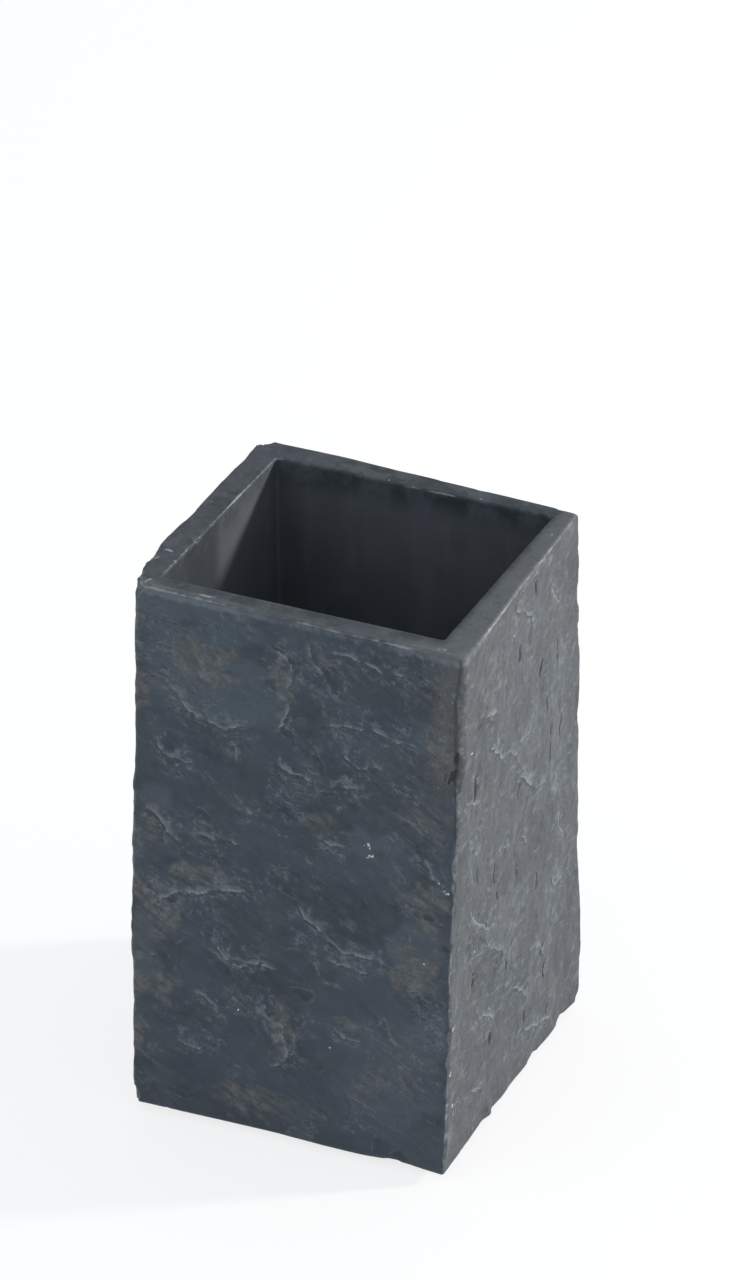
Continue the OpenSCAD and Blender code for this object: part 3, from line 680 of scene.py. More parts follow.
# Bites out of the casting's edges, in the order they are taken: for each the face, the place, the
# depth and the radius. The place is a share of the face's length or, on the upright edge and the
# corners after the face, a height.
bites = [
    ("rimCorner", [(3, 109.5, 1.4, 9.0)]),
    ("rim", [(3, 0.95, 0.9, 11.0), (3, 0.83, 0.9, 12.0), (3, 0.73, 0.4, 6.0), (0, 0.05, 0.3, 3.6),
        (0, 0.16, 0.35, 3.0), (0, 0.38, 0.35, 3.6), (0, 0.60, 0.35, 3.4), (0, 0.90, 0.7, 4.2),
        (0, 0.97, 0.5, 2.8), (1, 0.03, 0.4, 2.6), (1, 0.15, 0.35, 3.0), (1, 0.30, 0.4, 3.2),
        (1, 0.47, 0.35, 3.0), (1, 0.62, 0.35, 2.8), (1, 0.80, 0.45, 3.2), (3, 0.28, 0.2, 3.0),
        (3, 0.11, 0.45, 3.0), (3, 0.45, 0.25, 3.0), (2, 0.30, 0.5, 3.2), (2, 0.55, 0.4, 3.0),
        (2, 0.05, 0.6, 3.0)]),
    ("base", [(0, 0.84, 0.4, 5.5), (0, 0.45, 0.15, 5.0)]),
    ("baseCorner", [(1, 0.6, 1.25, 4.5)]),
    ("base", [(1, 0.66, 0.9, 6.0), (1, 0.52, 0.15, 5.0), (1, 0.12, 0.4, 4.0), (1, 0.88, 0.8, 6.0),
        (2, 0.25, 0.7, 5.0), (2, 0.7, 0.6, 5.0), (3, 0.3, 0.6, 4.4), (3, 0.75, 0.7, 5.0)]),
    ("mouth", [(3, 0.70, 0.7, 2.2), (3, 0.76, 0.6, 1.8), (3, 0.63, 0.45, 1.6), (3, 0.82, 0.5, 1.6),
        (3, 0.57, 0.35, 1.4), (3, 0.88, 0.4, 1.6), (2, 0.42, 0.4, 1.8), (2, 0.36, 0.3, 1.5),
        (1, 0.5, 0.25, 1.6), (3, 0.2, 0.25, 1.4)]),
    ("rimCorner", [(2, 109.5, 1.6, 6.5)]),
    ("edge", [(0, 62, 0.4, 3), (0, 57, 0.3, 3), (0, 43, 0.3, 4), (0, 30, 0.4, 3.4), (3, 88, 0.3, 5),
        (3, 66, 0.35, 5), (3, 54, 0.3, 4), (3, 36, 0.3, 5), (3, 1.0, 0.9, 4)]),
]

# Small nicks along the edges: how many to a face, then the ranges of place, depth and radius.
nicks = {
    "edge": (14, (3, 107), (0.04, 0.18), (1.4, 6)),
    "rim": (13, (0.03, 0.97), (0.08, 0.3), (1.2, 3.2)),
    "base": (10, (0.03, 0.97), (0.05, 0.22), (1.8, 4.5)),
    "mouth": (5, (0.05, 0.95), (0.06, 0.18), (0.9, 1.8)),
}

# How far up or down a bite's way out of the casting leans.
biteLeans = {"edge": 0, "rimCorner": 1.1, "baseCorner": -1.1, "rim": 1, "base": -1.3, "mouth": 1}


def listBites():
    # the placed bites, then the scattered nicks
    listed = [(kind, *bite) for kind, group in bites for bite in group]
    rng = np.random.default_rng(71)
    for k in range(4):
        for kind, (count, *ranges) in nicks.items():
            for n in range(count):
                listed.append((kind, k, *(rng.uniform(*limits) for limits in ranges)))
    return listed


def biteOut(points):
    # presses every point that lies inside a bite's sphere out to that sphere
    hurt = np.zeros(len(points))
    for kind, k, place, depth, radius in listBites():
        if kind in ("rim", "base", "mouth"):
            t = 0 if kind == "base" else block["height"]
            n = k * span + int(place * (casting["acrossFace"] - 1))
            out = -outward[k] if kind == "mouth" else outward[k]
        else:
            t = place
            n = k * span + casting["acrossFace"] + 2
            out = outward[k] + outward[(k + 1) % 4]
        nearest = min(max(t, casting["firstRow"]), block["height"] - 0.5)
        row = mouthLoop(0) if kind == "mouth" else skinRow(nearest)[0]
        way = np.append(out, biteLeans[kind])
        way = way / np.linalg.norm(way)
        centre = np.append(row[n], block["base"] + t) + way * (radius - depth)
        gap = points - centre
        far = np.linalg.norm(gap, axis=1)
        near = far < radius * 1.12               # the ragged sphere reaches no further
        local = points[near]
        across = local[:, 0] / 1.1 + local[:, 2] / 1.7
        ragged = layeredNoise(across, local[:, 1] / 1.1 - local[:, 2] / 1.3, 77, 2)
        limit = radius + min(0.09 * radius, 0.22) * ragged
        inside = far[near] < limit
        moved = centre + gap[near] / np.maximum(far[near], 1e-6)[:, None] * limit[:, None]
        index = np.nonzero(near)[0][inside]
        points[index] = moved[inside]
        hurt[index] = np.maximum(hurt[index], min(1, depth / 0.35))
    return hurt


def weave(points, parts):
    # closes the rows, and the middles of base and floor that come after them, to one mesh
    ring = np.arange(columns)
    after = (ring + 1) % columns
    quads, finish = [], []
    for r in range(len(parts) - 1):
        a, b = r * columns, (r + 1) * columns
        quads += np.stack([a + ring, a + after, b + after, b + ring], 1).tolist()
        # between the ground base and the skin the skin's finish, between skin and rim the rim's
        both = {parts[r], parts[r + 1]}
        finish += [riven if both == {riven, sanded} else max(both)] * columns
    bottom = len(parts) * columns
    lastRow = bottom - columns
    pairs = list(zip(ring.tolist(), after.tolist()))
    quads += [(bottom, j, i) for i, j in pairs]
    quads += [(lastRow + i, lastRow + j, bottom + 1) for i, j in pairs]
    finish += [sanded] * columns + [even] * columns
    mesh = bpy.data.meshes.new("tumbler")
    mesh.from_pydata((points * mm).tolist(), [], quads)
    mesh.polygons.foreach_set("material_index", finish)
    mesh.polygons.foreach_set("use_smooth", [True] * len(finish))
    return mesh


# Rows up the broken slope of the rim's outer edge: share of the way in, share of the way up, and how
# much shows there of the thin worn line and of the wide worn band.
slopeRows = [(0.06, 0.3, 0.7, 1.0), (0.22, 0.56, 1.15, 1.0), (0.48, 0.78, 0.85, 1.0),
             (0.76, 0.93, 0.35, 0.9), (1.0, 1.0, 0.25, 0.8)]


def buildTumbler():
    base, height = block["base"], block["height"]
    top = base + height
    rows, paints, parts = [], [], []
    drawn = {"edge": [], "band": [], "scuff": [], "rimMark": []}

    def addRow(points, z, part, paint=0, edge=0, band=0, onRim=False):
        rows.append(np.column_stack([points, np.zeros(columns) + z]))
        parts.append(part)
        paints.append(np.zeros((columns, len(paintNames))) + paint)
        drawn["edge"].append(np.zeros(columns) + edge)
        drawn["band"].append(np.zeros(columns) + band)
        drawn["scuff"].append(rimScuff(points) if onRim else np.zeros(columns))
        drawn["rimMark"].append(nearRimMark(points) if onRim else np.full(columns, unmarked))

    # ground base, from its middle outwards
    outline, paint, edge = skinRow(0.0, casting["baseBreak"])
    for share in casting["baseRings"]:
        addRow(outline * share, base, sanded)
    addRow(outline, base, sanded, paint, edge * 0.6)
    # skin, worn at its foot as at its edges, with the rim's worn band coming down over its top
    drop = casting["rimDrop"]
    for t in np.linspace(casting["firstRow"], height - drop, casting["rows"]):
        points, paint, edge = skinRow(t)
        edge = np.maximum(edge, 0.7 * math.exp(-t / 0.7))
        band = rimWear(points)[1] * smooth(height - 2.6, height - 1, t)
        addRow(points, base + t, riven, paint, edge, band)
    # slope of the rim's outer edge
    topPoints, topPaint, topEdge = skinRow(height - drop)
    tucked = skinRow(height - drop, 1.0)[0]
    line, band = rimWear(topPoints)
    slope = (casting["rimSlope"] * (1 + 1.5 * band))[:, None]
    for inward, rise, thin, wide in slopeRows:
        share = slope * inward
        points = topPoints * (1 - share) + tucked * share
        z = base + height - drop + (drop + rimWave(points)) * rise
        edge = np.maximum(line * thin, topEdge * 0.5)
        addRow(points, z, riven if inward < 0.4 else even, topPaint * (1 - rise), edge, band * wide, True)
    # flat of the rim, where the worn band fades out over a third of the way
    outer = rows[-1][:, :2]
    inner = mouthLoop(-casting["mouthBreak"])
    for share in casting["rimRings"]:
        points = outer * (1 - share) + inner * share
        edge = line * (0.25 if share < 0.1 else 0)
        addRow(points, top + rimWave(points), even, 0, edge, band * max(0, 0.8 - share * 2.4), True)
    lip = mouthWear(inner)
    addRow(inner, top + rimWave(inner), even, 0, lip * 0.45, 0, True)
    worn = top + rimWave(inner) - casting["mouthDrop"]
    addRow(mouthLoop(-casting["mouthBreak"] * 0.3), worn, even, 0, lip * 1.35)
    # walls of the cavity, straight for the first few mm
    foot = height - casting["wallFoot"]
    for depth in np.concatenate([casting["wallDepths"], np.linspace(2.4, foot, casting["wallRows"])]):
        points = mouthLoop(casting["wallDraft"] * depth / foot)
        wall = points + wallWave(points, depth) * smooth(0, 6, depth)
        addRow(wall, top - depth, even, 0, lip * (0.8 if depth < 0.5 else 0))
    # bevel and floor
    bevel = casting["wallFoot"] - casting["floor"]
    for share in casting["bevelRings"]:
        tuck = casting["wallDraft"] + bevel * (1 - math.cos(share * math.pi / 2))
        addRow(mouthLoop(tuck), base + casting["wallFoot"] - bevel * math.sin(share * math.pi / 2), even)
    floorLine = mouthLoop(casting["wallDraft"] + bevel)
    for share in casting["floorRings"]:
        addRow(floorLine * share, base + casting["floor"], even)

    points = np.concatenate(rows)
    flat = points[:columns * len(casting["baseRings"])].copy()
    hurt = biteOut(points)
    # the base stays ground flat under its edge, and nothing leaves the CAD's box
    points[:len(flat)] = flat
    points = np.clip(points, *cadBodyBox)
    points = np.concatenate([points, [[0, 0, base]], [[0, 0, base + casting["floor"]]]])

    mesh = weave(points, parts)
    allPaint = np.concatenate(paints + [np.zeros((2, len(paintNames)))])
    values = {name: allPaint[:, n] for n, name in enumerate(paintNames)}
    for name, numbers in drawn.items():
        values[name] = np.append(np.concatenate(numbers), [unmarked if name == "rimMark" else 0] * 2)
    values["hurt"] = np.append(hurt, [0, 0])
    sunk = points[:, 2] - base - height
    cored = np.append(np.repeat([p == even for p in parts], columns), [False, True])
    # where the cavity is painted paler than the rim: painted fill light
    values["inside"] = smooth(-1.0, -6.0, sunk) * cored      # comes in from 1 to 6 mm under the rim
    # the cavity's left wall gets a tone of its own for the light that falls on it, painted light, and
    # painted shade that darkens it towards the front
    along = points[:, 1]
    values["leftWall"] = smooth(-0.2, -0.8, sunk) * cored * smooth(-26, -27, points[:, 0])
    values["leftWallShade"] = values["leftWall"] * smooth(3, -4, along) * (1 - 0.3 * smooth(-11, -15, along))
    flank = np.zeros(columns)                # the two sides and the edges round to them
    for k in (1, 3):
        flank[k * span - 4:k * span + casting["acrossFace"] + 2] = 1
    values["flank"] = np.append(np.tile(flank, len(rows)), [0, 0])
    for name, numbers in values.items():
        layer = mesh.attributes.new(name, "FLOAT", "POINT")
        layer.data.foreach_set("value", numbers.astype(np.float32))
    mesh.update()
    mesh.validate()
    return addObject("tumbler", mesh)


def rimWave(points):
    wave = layeredNoise(points[:, 0] / 13, points[:, 1] / 13, 501, 3)
    return casting["rimWave"] * (wave - 1)


def wallWave(points, depth):
    # slow waves and faint draw marks on the cast walls, pushing them outwards only a little
    around = np.arctan2(points[:, 1], points[:, 0])
    wave = layeredNoise(around * 5, np.full(len(points), depth / 30), 511, 3)
    out = points / np.linalg.norm(points, axis=1)[:, None]
    return out * (casting["wallWave"] * wave)[:, None]


# Wear along the rim's edges: position along the edge in mm, how strong it shows.
rimWearAt = {
    "frontLine": [(-33, 1.2), (-27, 1.15), (-20, 1.05), (-13, 0.75), (-7, 0.5), (-3, 0.65), (2, 0.95),
        (8, 0.8), (12, 0.75), (16, 1.05), (23, 1.15), (25, 0.5), (30, 0.4)],
    "frontBand": [(-33, 1.0), (-20, 0.95), (-12, 0.85), (-6, 0.7), (0, 0.6), (20, 0.6), (24, 0.85),
        (30, 0.95)],
    "rightLine": [(-29, 0.3), (-24, 0.5), (-21, 0.9), (-12, 1.0), (0, 0.8), (12, 0.95), (24, 0.8),
        (30, 0.5)],
    "rightBand": [(-29, 0.8), (-22, 0.5), (-14, 0.3), (-4, 0.25), (2, 0.5), (8, 0.6), (14, 0.35),
        (30, 0.4)],
    "mouthLeft": [(-24, 0.3), (-22.5, 0.6), (-19, 0.5), (-17.5, 0.3), (-16, 0.3), (-15, 0.65),
        (-12, 0.65), (-10.5, 0.3), (-7, 0.3), (-4, 0.5), (-1, 0.4), (1, 0.6), (4, 0.75), (6.5, 0.95),
        (12, 0.95), (14, 0.7), (17, 0.6), (20, 0.72), (22, 0.65), (25, 0.6)],
    "mouthBack": [(-28, 0.2), (-2, 0.2), (0, 0.7), (2, 0.3), (4, 0.95), (7, 0.95), (9, 0.25), (28, 0.2)],
}


def wornAt(edge, along):
    places, strengths = zip(*rimWearAt[edge])
    return np.interp(along, places, strengths)


def rimWear(points):
    # where the rim's outer edge, some 30 mm out on every side, has worn: to a thin light line, and to
    # a wide dull band
    x, y = points.T
    front = smooth(-26, -28, y)
    right = smooth(28, 30, x) * (1 - front)
    broken = np.clip(0.85 + 0.7 * layeredNoise(x / 5 + 3, y / 5, 521, 3), 0.45, 1.15)
    line = np.maximum(right * wornAt("rightLine", y), front * wornAt("frontLine", x))
    line = np.maximum(line, 0.4 * smooth(26, 28, y) + 0.3 * smooth(-28, -30, x))
    band = np.maximum(front * wornAt("frontBand", x), right * wornAt("rightBand", y))
    return line * broken, np.clip(band * (0.7 + 0.4 * broken), 0, 1)


def rimScuff(points):
    # how much the flat of the rim is scuffed: most on the right and round the front corners
    x, y = points.T
    front = smooth(-25, -29, y)
    scuffed = 0.25 + 0.7 * smooth(28, 30, x) + 0.3 * front + 0.5 * (smooth(16, 30, x) * front)
    scuffed = scuffed + 0.6 * (smooth(-22, -31, x) * front) + 0.1 * smooth(-28, -30, x)
    return np.clip(scuffed, 0, 1)


def mouthWear(points):
    x, y = points.T
    left = smooth(-26.5, -27.5, x) * wornAt("mouthLeft", y)
    back = smooth(23.5, 24.5, y) * wornAt("mouthBack", x)
    return np.maximum(np.maximum(left, back), 0.2 * smooth(26, 27, x) + 0.12 * smooth(-23.5, -24.2, y))


# Scratches and small breaks on the flat of the rim: points (x, y).
rimMarks = [
    [(-33.4, -15.2), (-31.6, -15.0), (-29.8, -15.5)], [(-33.8, -20.2), (-32.4, -18.4), (-31.2, -17.6)],
    [(-31.8, -27.6), (-30.4, -27.2), (-29.2, -25.4)], [(-32.6, -24), (-31.8, -22.6)],
    [(-32.8, 4), (-31.9, 5.6)], [(27.4, -28.4), (29.2, -27.8), (30.6, -28.2)],
    [(31.2, -14), (30.2, -12.4)], [(29.6, 4), (30.4, 5.2)],
    [(-20.4, -27.4), (-17.8, -27.8), (-15.4, -27.2)], [(6.2, -27.2), (7.6, -27.8)],
    [(12, 26.4), (14.2, 26.8)], [(-6.4, 25.8), (-4.8, 26.6)], [(30.8, 18), (30.2, 20.4)],
]


def nearRimMark(points):
    # distance in mm to the nearest of them
    distance = np.full(len(points), unmarked)
    for mark in rimMarks:
        signed, alive = brokenEdge(mark, points[:, 0], points[:, 1])
        distance = np.minimum(distance, abs(signed) + 3 * (1 - smooth(0, 0.4, alive)))
    return distance


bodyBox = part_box("tumbler_body")
cadBodyBox = [[c / mm for c in corner] for corner in bodyBox]
tumbler = buildTumbler()
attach(tumbler, "root")
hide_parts("tumbler_body")
print("tumbler cast:", len(tumbler.data.polygons), "faces")


def colour(code):
    # an sRGB hex value as the linear colour that Blender takes
    parts = [int(code[i:i + 2], 16) / 255 for i in (1, 3, 5)]
    return tuple(c / 12.92 if c <= 0.04045 else ((c + 0.055) / 1.055) ** 2.4 for c in parts) + (1,)


def addNode(tree, kind, inputs=(), take=0, **settings):
    # adds one node with its settings and links, and gives back one of its outputs; inputs come in
    # the sockets' order or by name, each a value or the output that feeds it
    node = tree.nodes.new("ShaderNode" + kind)
    for name, value in settings.items():
        setattr(node, name, value)
    for name, value in (inputs.items() if isinstance(inputs, dict) else enumerate(inputs)):
        if isinstance(value, bpy.types.NodeSocket):
            tree.links.new(value, node.inputs[name])
        else:
            node.inputs[name].default_value = value
    return node.outputs[take] if node.outputs else None


def newMaterial(name):
    # an empty node material, the call that adds nodes to it, and places on its piece in mm
    material = bpy.data.materials.new(name)
    material.use_nodes = True
    material.node_tree.nodes.clear()
    add = partial(addNode, material.node_tree)
    place = add("TexCoord", take="Object")
    return material, add, add("Mapping", {"Vector": place, "Scale": (1000,) * 3})


soft = {"interpolation_type": "SMOOTHSTEP"}
ofMesh = {"take": "Fac", "attribute_type": "GEOMETRY"}      # a value that the mesh carries


def layCoats(add, ground, coats, shades):
    # paints coat after coat: the value and the two levels it comes in between, how much it covers,
    # what else limits it, and its shade
    for value, low, high, most, limits, shade in coats:
        cover = add("MapRange", [value, low, high, 0, most], **soft)
        for limit in limits:
            cover = add("Math", [cover, limit], operation="MULTIPLY")
        mixed = {"Factor": cover, "A": ground, "B": colour(shades[shade])}
        ground = add("Mix", mixed, "Result", data_type="RGBA")
    return ground


def stackHeights(add, parts):
    # one height in mm out of several patterns, each with its own share
    height = 0.0
    for value, size in parts:
        height = add("Math", [value, size, height], operation="MULTIPLY_ADD")
    return height


def closeMaterial(add, ground, height, strength, tall, rough, sockets):
    # bump out of a height whose 1 is so many mm tall, the range of the roughness, and what is the
    # same all over
    bump = add("Bump", {"Height": height, "Strength": strength, "Distance": tall * mm})
    rough = add("MapRange", rough)
    shader = add("BsdfPrincipled", {"Base Color": ground, "Roughness": rough, "Normal": bump, **sockets})
    add("OutputMaterial", {"Surface": shader})


# Riven resin: polyester and slate powder cast in a silicone mould of split slate, stained blue-grey,
# washed with thin brown and dry-brushed light. It gives a matt, leathery stone skin: blue in the flats,
# warm and dull in patches, with short pale strokes where the brush caught the broken edges. Painted
# shade lies under its scales and broken edges and in its hollows, and the flanks' grey is partly painted
# sheen.
rivenPaint = {
    # flank: the flanks' grey, partly painted sheen
    # shadow: painted shade under scales, broken edges and in hollows, and the dark of pits and specks
    "flat": "#3a4754", "flatDeep": "#2f3b47", "flatPale": "#505e69", "grey": "#444d52", "flank": "#545557",
    "rubbed": "#595b5c", "warm": "#575a5a", "warmPale": "#6e716f",
    "brush": "#7d858a", "brushStrong": "#b2b5b4",
    "shadow": "#1b2227", "slit": "#15181a", "chip": "#e4e2dc",
    "roughness": 0.56,
    "waveEvery": 17, "waveBy": 7,            # mm, the slow bends of the grain
    "frontLean": -27, "flankLean": 5,        # degrees that the grain leans by
    "flakeLong": 5.2, "flakeShort": 2.1,     # mm, the scales of the split stone
    "bedThick": 2.8, "bedLong": 6.0,         # mm, the flanks cut across the beds, which stand upright
    "flankStretch": 1.7,                     # everything else there is drawn out from front to back
    "flakeSteps": 3.4, "splinterSteps": 3.0,  # edges that the whole swing of the noise is cut into
    "strokeShare": 0.55,                     # brush strokes run on past the scales by as much
}


def rivenResin():
    material, add, straight = newMaterial("riven_cast_resin")
    p = rivenPaint
    # slow waves turn the grain this way and that
    waves = add("TexNoise", {"Vector": straight, "Scale": 1 / p["waveEvery"], "Detail": 1.0}, "Color")
    half = p["waveBy"] / 2
    push = add("MapRange", {"Vector": waves, "To Min": (-half,) * 3, "To Max": (half,) * 3}, "Vector",
               data_type="FLOAT_VECTOR")
    bent = add("VectorMath", [straight, push], operation="ADD")
    names = ("flank", "bareAndSheen", "proudness", "wash", "tone", "lively", "fleck", "ripSide", "ripStrength",
             "slitSide", "slitStrength", "beds", "bedPace", "bedCrisp", "edge", "band", "hurt")
    painted = {name: add("Attribute", attribute_name=name, **ofMesh) for name in names}
    flank, bareAndSheen = painted["flank"], painted["bareAndSheen"]
    front = add("Math", [1.0, bareAndSheen], operation="SUBTRACT", use_clamp=True)
    # on each face the grain falls to the right
    long, short = 1 / p["flakeLong"], 1 / p["flakeShort"]
    leaned = add("Mapping", {"Vector": bent, "Rotation": (0, math.radians(p["frontLean"]), 0)})
    frontAt = add("Mapping", {"Vector": leaned, "Scale": (long, short, short)})
    leaned = add("Mapping", {"Vector": bent, "Rotation": (math.radians(p["flankLean"]), 0, 0)})
    flankAt = add("Mapping", {"Vector": leaned, "Scale": (short, 1 / p["bedThick"], 1 / p["bedLong"])})
    grainAt = add("Mix", {"Factor": flank, "A": frontAt, "B": flankAt}, "Result", data_type="VECTOR")
    strokesAt = add("Mapping", {"Vector": grainAt, "Scale": (p["strokeShare"], p["strokeShare"], 1)})
    drawnOut = add("Mapping", {"Vector": straight, "Scale": (1, 1 / p["flankStretch"], 1)})
    inMm = add("Mix", {"Factor": flank, "A": straight, "B": drawnOut}, "Result", data_type="VECTOR")

    # patterns: where, period in its units, octaves, how strong the fine ones are
    patterns = {
        "flakes": (grainAt, 1.0, 4.0, 0.55), "splinters": (strokesAt, 0.36, 3.0, 0.6),
        "strokes": (strokesAt, 0.62, 4.0, 0.6),
        "clouds": (inMm, 15, 4.0, 0.6), "greys": (inMm, 11, 5.0, 0.65), "clusters": (inMm, 8.5, 3.0, 0.55),
        "patches": (inMm, 3.0, 3.0, 0.55), "torn": (inMm, 1.5, 5.0, 0.65), "grain": (inMm, 0.5, 3.0, 0.6),
    }
    for name, (vector, period, octaves, fineness) in patterns.items():
        inputs = {"Vector": vector, "Scale": 1 / period, "Detail": octaves, "Roughness": fineness}
        patterns[name] = add("TexNoise", inputs)
    flakes, splinters, strokes, clouds, greys, clusters, patches, torn, grain = patterns.values()
    tear = add("Math", [torn, 0.5], operation="SUBTRACT")
    crumb = add("Math", [grain, 0.5], operation="SUBTRACT")

    # values that the coats follow: first those of the mesh, torn by noise so that no edge runs smooth
    follow = {
        "rip": [tear, 2.0, painted["ripSide"]], "low": [tear, 3.0, painted["proudness"]],
        "high": [tear, 6.0, painted["proudness"]], "wash": [tear, 0.9, painted["wash"]],
        "edge": [tear, 2.4, painted["edge"]], "nick": [tear, 1.6, painted["hurt"]],
        "band": [tear, 1.3, painted["band"]], "slit": [tear, 2.6, painted["slitSide"]],
        "slitLong": [tear, 1.4, painted["slitStrength"]], "fleck": [crumb, 2.0, painted["fleck"]],
        "touched": [painted["lively"], 0.2, clusters],
    }
    for name, inputs in follow.items():
        follow[name] = add("Math", inputs, operation="MULTIPLY_ADD")
    rip, low, high, wash, edge, nick, band, slit, slitLong, fleck, touched = follow.values()
    slit = add("Math", [slit], operation="ABSOLUTE")
    # then saw teeth, whose tips are the lips of scales, splinters and beds
    teeth = {
        "scale": [flakes, p["flakeSteps"], tear], "splinter": [splinters, p["splinterSteps"], tear],
        "fray": [splinters, 4.0, rip], "beds": [tear, 0.3, painted["beds"]],
    }
    for name, inputs in teeth.items():
        steps = add("Math", inputs, operation="MULTIPLY_ADD")
        teeth[name] = add("Math", [steps], operation="FRACT")
    scale, splinter, fray, beds = teeth.values()
    past = add("Math", [beds, painted["bedPace"]], operation="DIVIDE")
    # and masks
    masks = {
        "alive": [touched, 0.52, 0.64, 0, 1], "patchy": [patches, 0.43, 0.55, 0, 1],
        "broken": [torn, 0.42, 0.56, 0, 1], "toward": [rip, -0.08, 0.06, 0, 1],
        "below": [rip, 0.02, -0.1, 0, 1], "slitLong": [slitLong, 0.45, 0.65, 0, 1],
        "often": [patches, 0.42, 0.56, 0.16, 1], "streaky": [strokes, 0.4, 0.56, 0.15, 1],
        "lip": [rip, 0.9, 0.0, 0, 1], "gap": [slit, 0.9, 0.3, 0, 1],
    }
    for name, inputs in masks.items():
        masks[name] = add("MapRange", inputs, **soft)
    alive, patchy, broken, toward, below, slitLong, often, streaky, lip, gap = masks.values()
    onLip = [toward, painted["ripStrength"], often]
    crumbly = add("Math", [bareAndSheen, 1.0], operation="MINIMUM")

    ground = layCoats(add, colour(p["flat"]), [
        # stain: blue, deep in places, with greyer clouds and paler plates
        (clouds, 0.62, 0.38, 1.0, [], "flatDeep"),
        (painted["tone"], -0.1, -0.8, 0.85, [], "flatDeep"),
        (painted["tone"], 0.1, 0.8, 0.7, [], "flatPale"),
        (greys, 0.47, 0.66, 0.55, [], "grey"),
        # flanks painted grey, partly painted sheen; the rubbed front right edge barer still
        (bareAndSheen, 0, 1, 0.55, [], "flank"),
        (bareAndSheen, 1.0, 1.8, 0.75, [], "rubbed"),
        (painted["tone"], -0.2, -1.0, 0.35, [flank], "grey"),
        (painted["tone"], 0.2, 0.9, 0.45, [flank, broken], "brush"),
        (strokes, 0.5, 0.68, 0.36, [front, patchy], "flatPale"),
        (strokes, 0.46, 0.3, 0.25, [front], "flatDeep"),
        (scale, 0.2, 1.0, 0.3, [alive], "flatPale"),
        # painted shade under the drop of each scale
        (scale, 0.16, 0.03, 0.45, [alive, front], "shadow"),
        # brown wash, dull where it is thin and milky where it dried
        (wash, 0.12, 0.5, 0.75, [streaky], "warm"),
        (wash, 0.35, 0.85, 0.62, [broken, streaky], "warmPale"),
        # hollows are painted dark: painted shade
        (low, -0.6, -2.4, 0.4, [front], "shadow"),
        # dry brush: on what stands proud, on the lips of the scales and in short splinters
        (high, 1.0, 2.8, 0.4, [alive], "brush"),
        (scale, 0.8, 0.95, 0.42, [alive, broken], "brush"),
        (splinter, 0.7, 0.92, 0.4, [alive, patchy, broken, front], "brush"),
        # crumbs and pits of the bare filler, strongest on the flanks
        (torn, 0.44, 0.34, 0.4, [crumbly], "shadow"),
        (torn, 0.55, 0.66, 0.45, [crumbly, patchy], "brush"),
        (grain, 0.6, 0.7, 0.3, [crumbly], "brush"),
        (grain, 0.4, 0.3, 0.35, [crumbly], "shadow"),
        (torn, 0.6, 0.68, 0.4, [alive], "brush"),
        # broken edges: painted shade under them, splinters beside them, a crisp pale line on the lip
        (rip, -0.9, -0.2, 0.55, [below, painted["ripStrength"], patchy], "shadow"),
        (fray, 0.66, 0.82, 0.6, [painted["ripStrength"], broken, patchy], "brush"),
        (rip, 0.9, 0.25, 0.68, onLip, "brush"),
        (rip, 0.45, 0.15, 0.36, onLip + [broken], "brushStrong"),
        (past, 0.45, 0.12, 0.35, [painted["bedCrisp"], patchy], "brush"),
        # worn outer edges and nicks
        (band, 0.25, 1.0, 0.6, [], "brush"),
        (edge, 0.6, 1.15, 0.6, [], "brush"),
        (edge, 1.1, 1.45, 0.6, [], "brushStrong"),
        (nick, 0.75, 1.3, 0.3, [], "brush"),
        (torn, 0.55, 0.66, 0.4, [painted["hurt"]], "brush"),
        # slits, and chips down to the white filler
        (slit, 0.8, 0.4, 0.85, [slitLong], "slit"),
        (fleck, 0.6, 0.75, 1.0, [], "chip"),
    ], p)
    fine = add("MapRange", [grain, 0.3, 0.7, 0.9, 1.1])
    mixed = {"Factor": 1.0, "A": ground, "B": add("CombineColor", [fine, fine, fine])}
    ground = add("Mix", mixed, "Result", data_type="RGBA", blend_type="MULTIPLY")

    for limit in (painted["ripStrength"], toward):
        lip = add("Math", [lip, limit], operation="MULTIPLY")
    gap = add("Math", [gap, slitLong], operation="MULTIPLY")
    heights = [(flakes, 0.34), (scale, 0.05), (torn, 0.2), (grain, 0.05), (lip, 0.12), (gap, -0.35)]
    rough = [flakes, 0.35, 0.7, p["roughness"] + 0.06, p["roughness"] - 0.05]
    closeMaterial(add, ground, stackHeights(add, heights), 0.8, 1, rough, {"IOR": 1.5})
    return material


# Smooth resin: the same mix against a polished core, so the rim and the cavity come out even, with
# clouds of stain, a satin face, faint draw marks up the walls, and scuffs where the rim is handled. The
# cavity is painted paler as fill light, and its left wall carries painted light and painted shade.
smoothPaint = {
    "flat": "#51585e", "flatDeep": "#3e454b", "flatPale": "#61686c",
    # the cavity's own colour is paler than the rim's, painted fill light; the two colours after insidePale
    # are painted light and painted shade on the cavity's left wall
    "inside": "#686c71", "insidePale": "#73777d", "leftWallLitTone": "#60666d", "leftWallShade": "#3b4148",
    "shadow": "#363c40", "rub": "#7b7e80", "scuff": "#808486", "line": "#b9bbba",
    "roughness": 0.58, "shine": 0.36,        # it was waxed, so it mirrors less than bare resin
    "drawMarks": 6,                          # mm across a draw mark
}


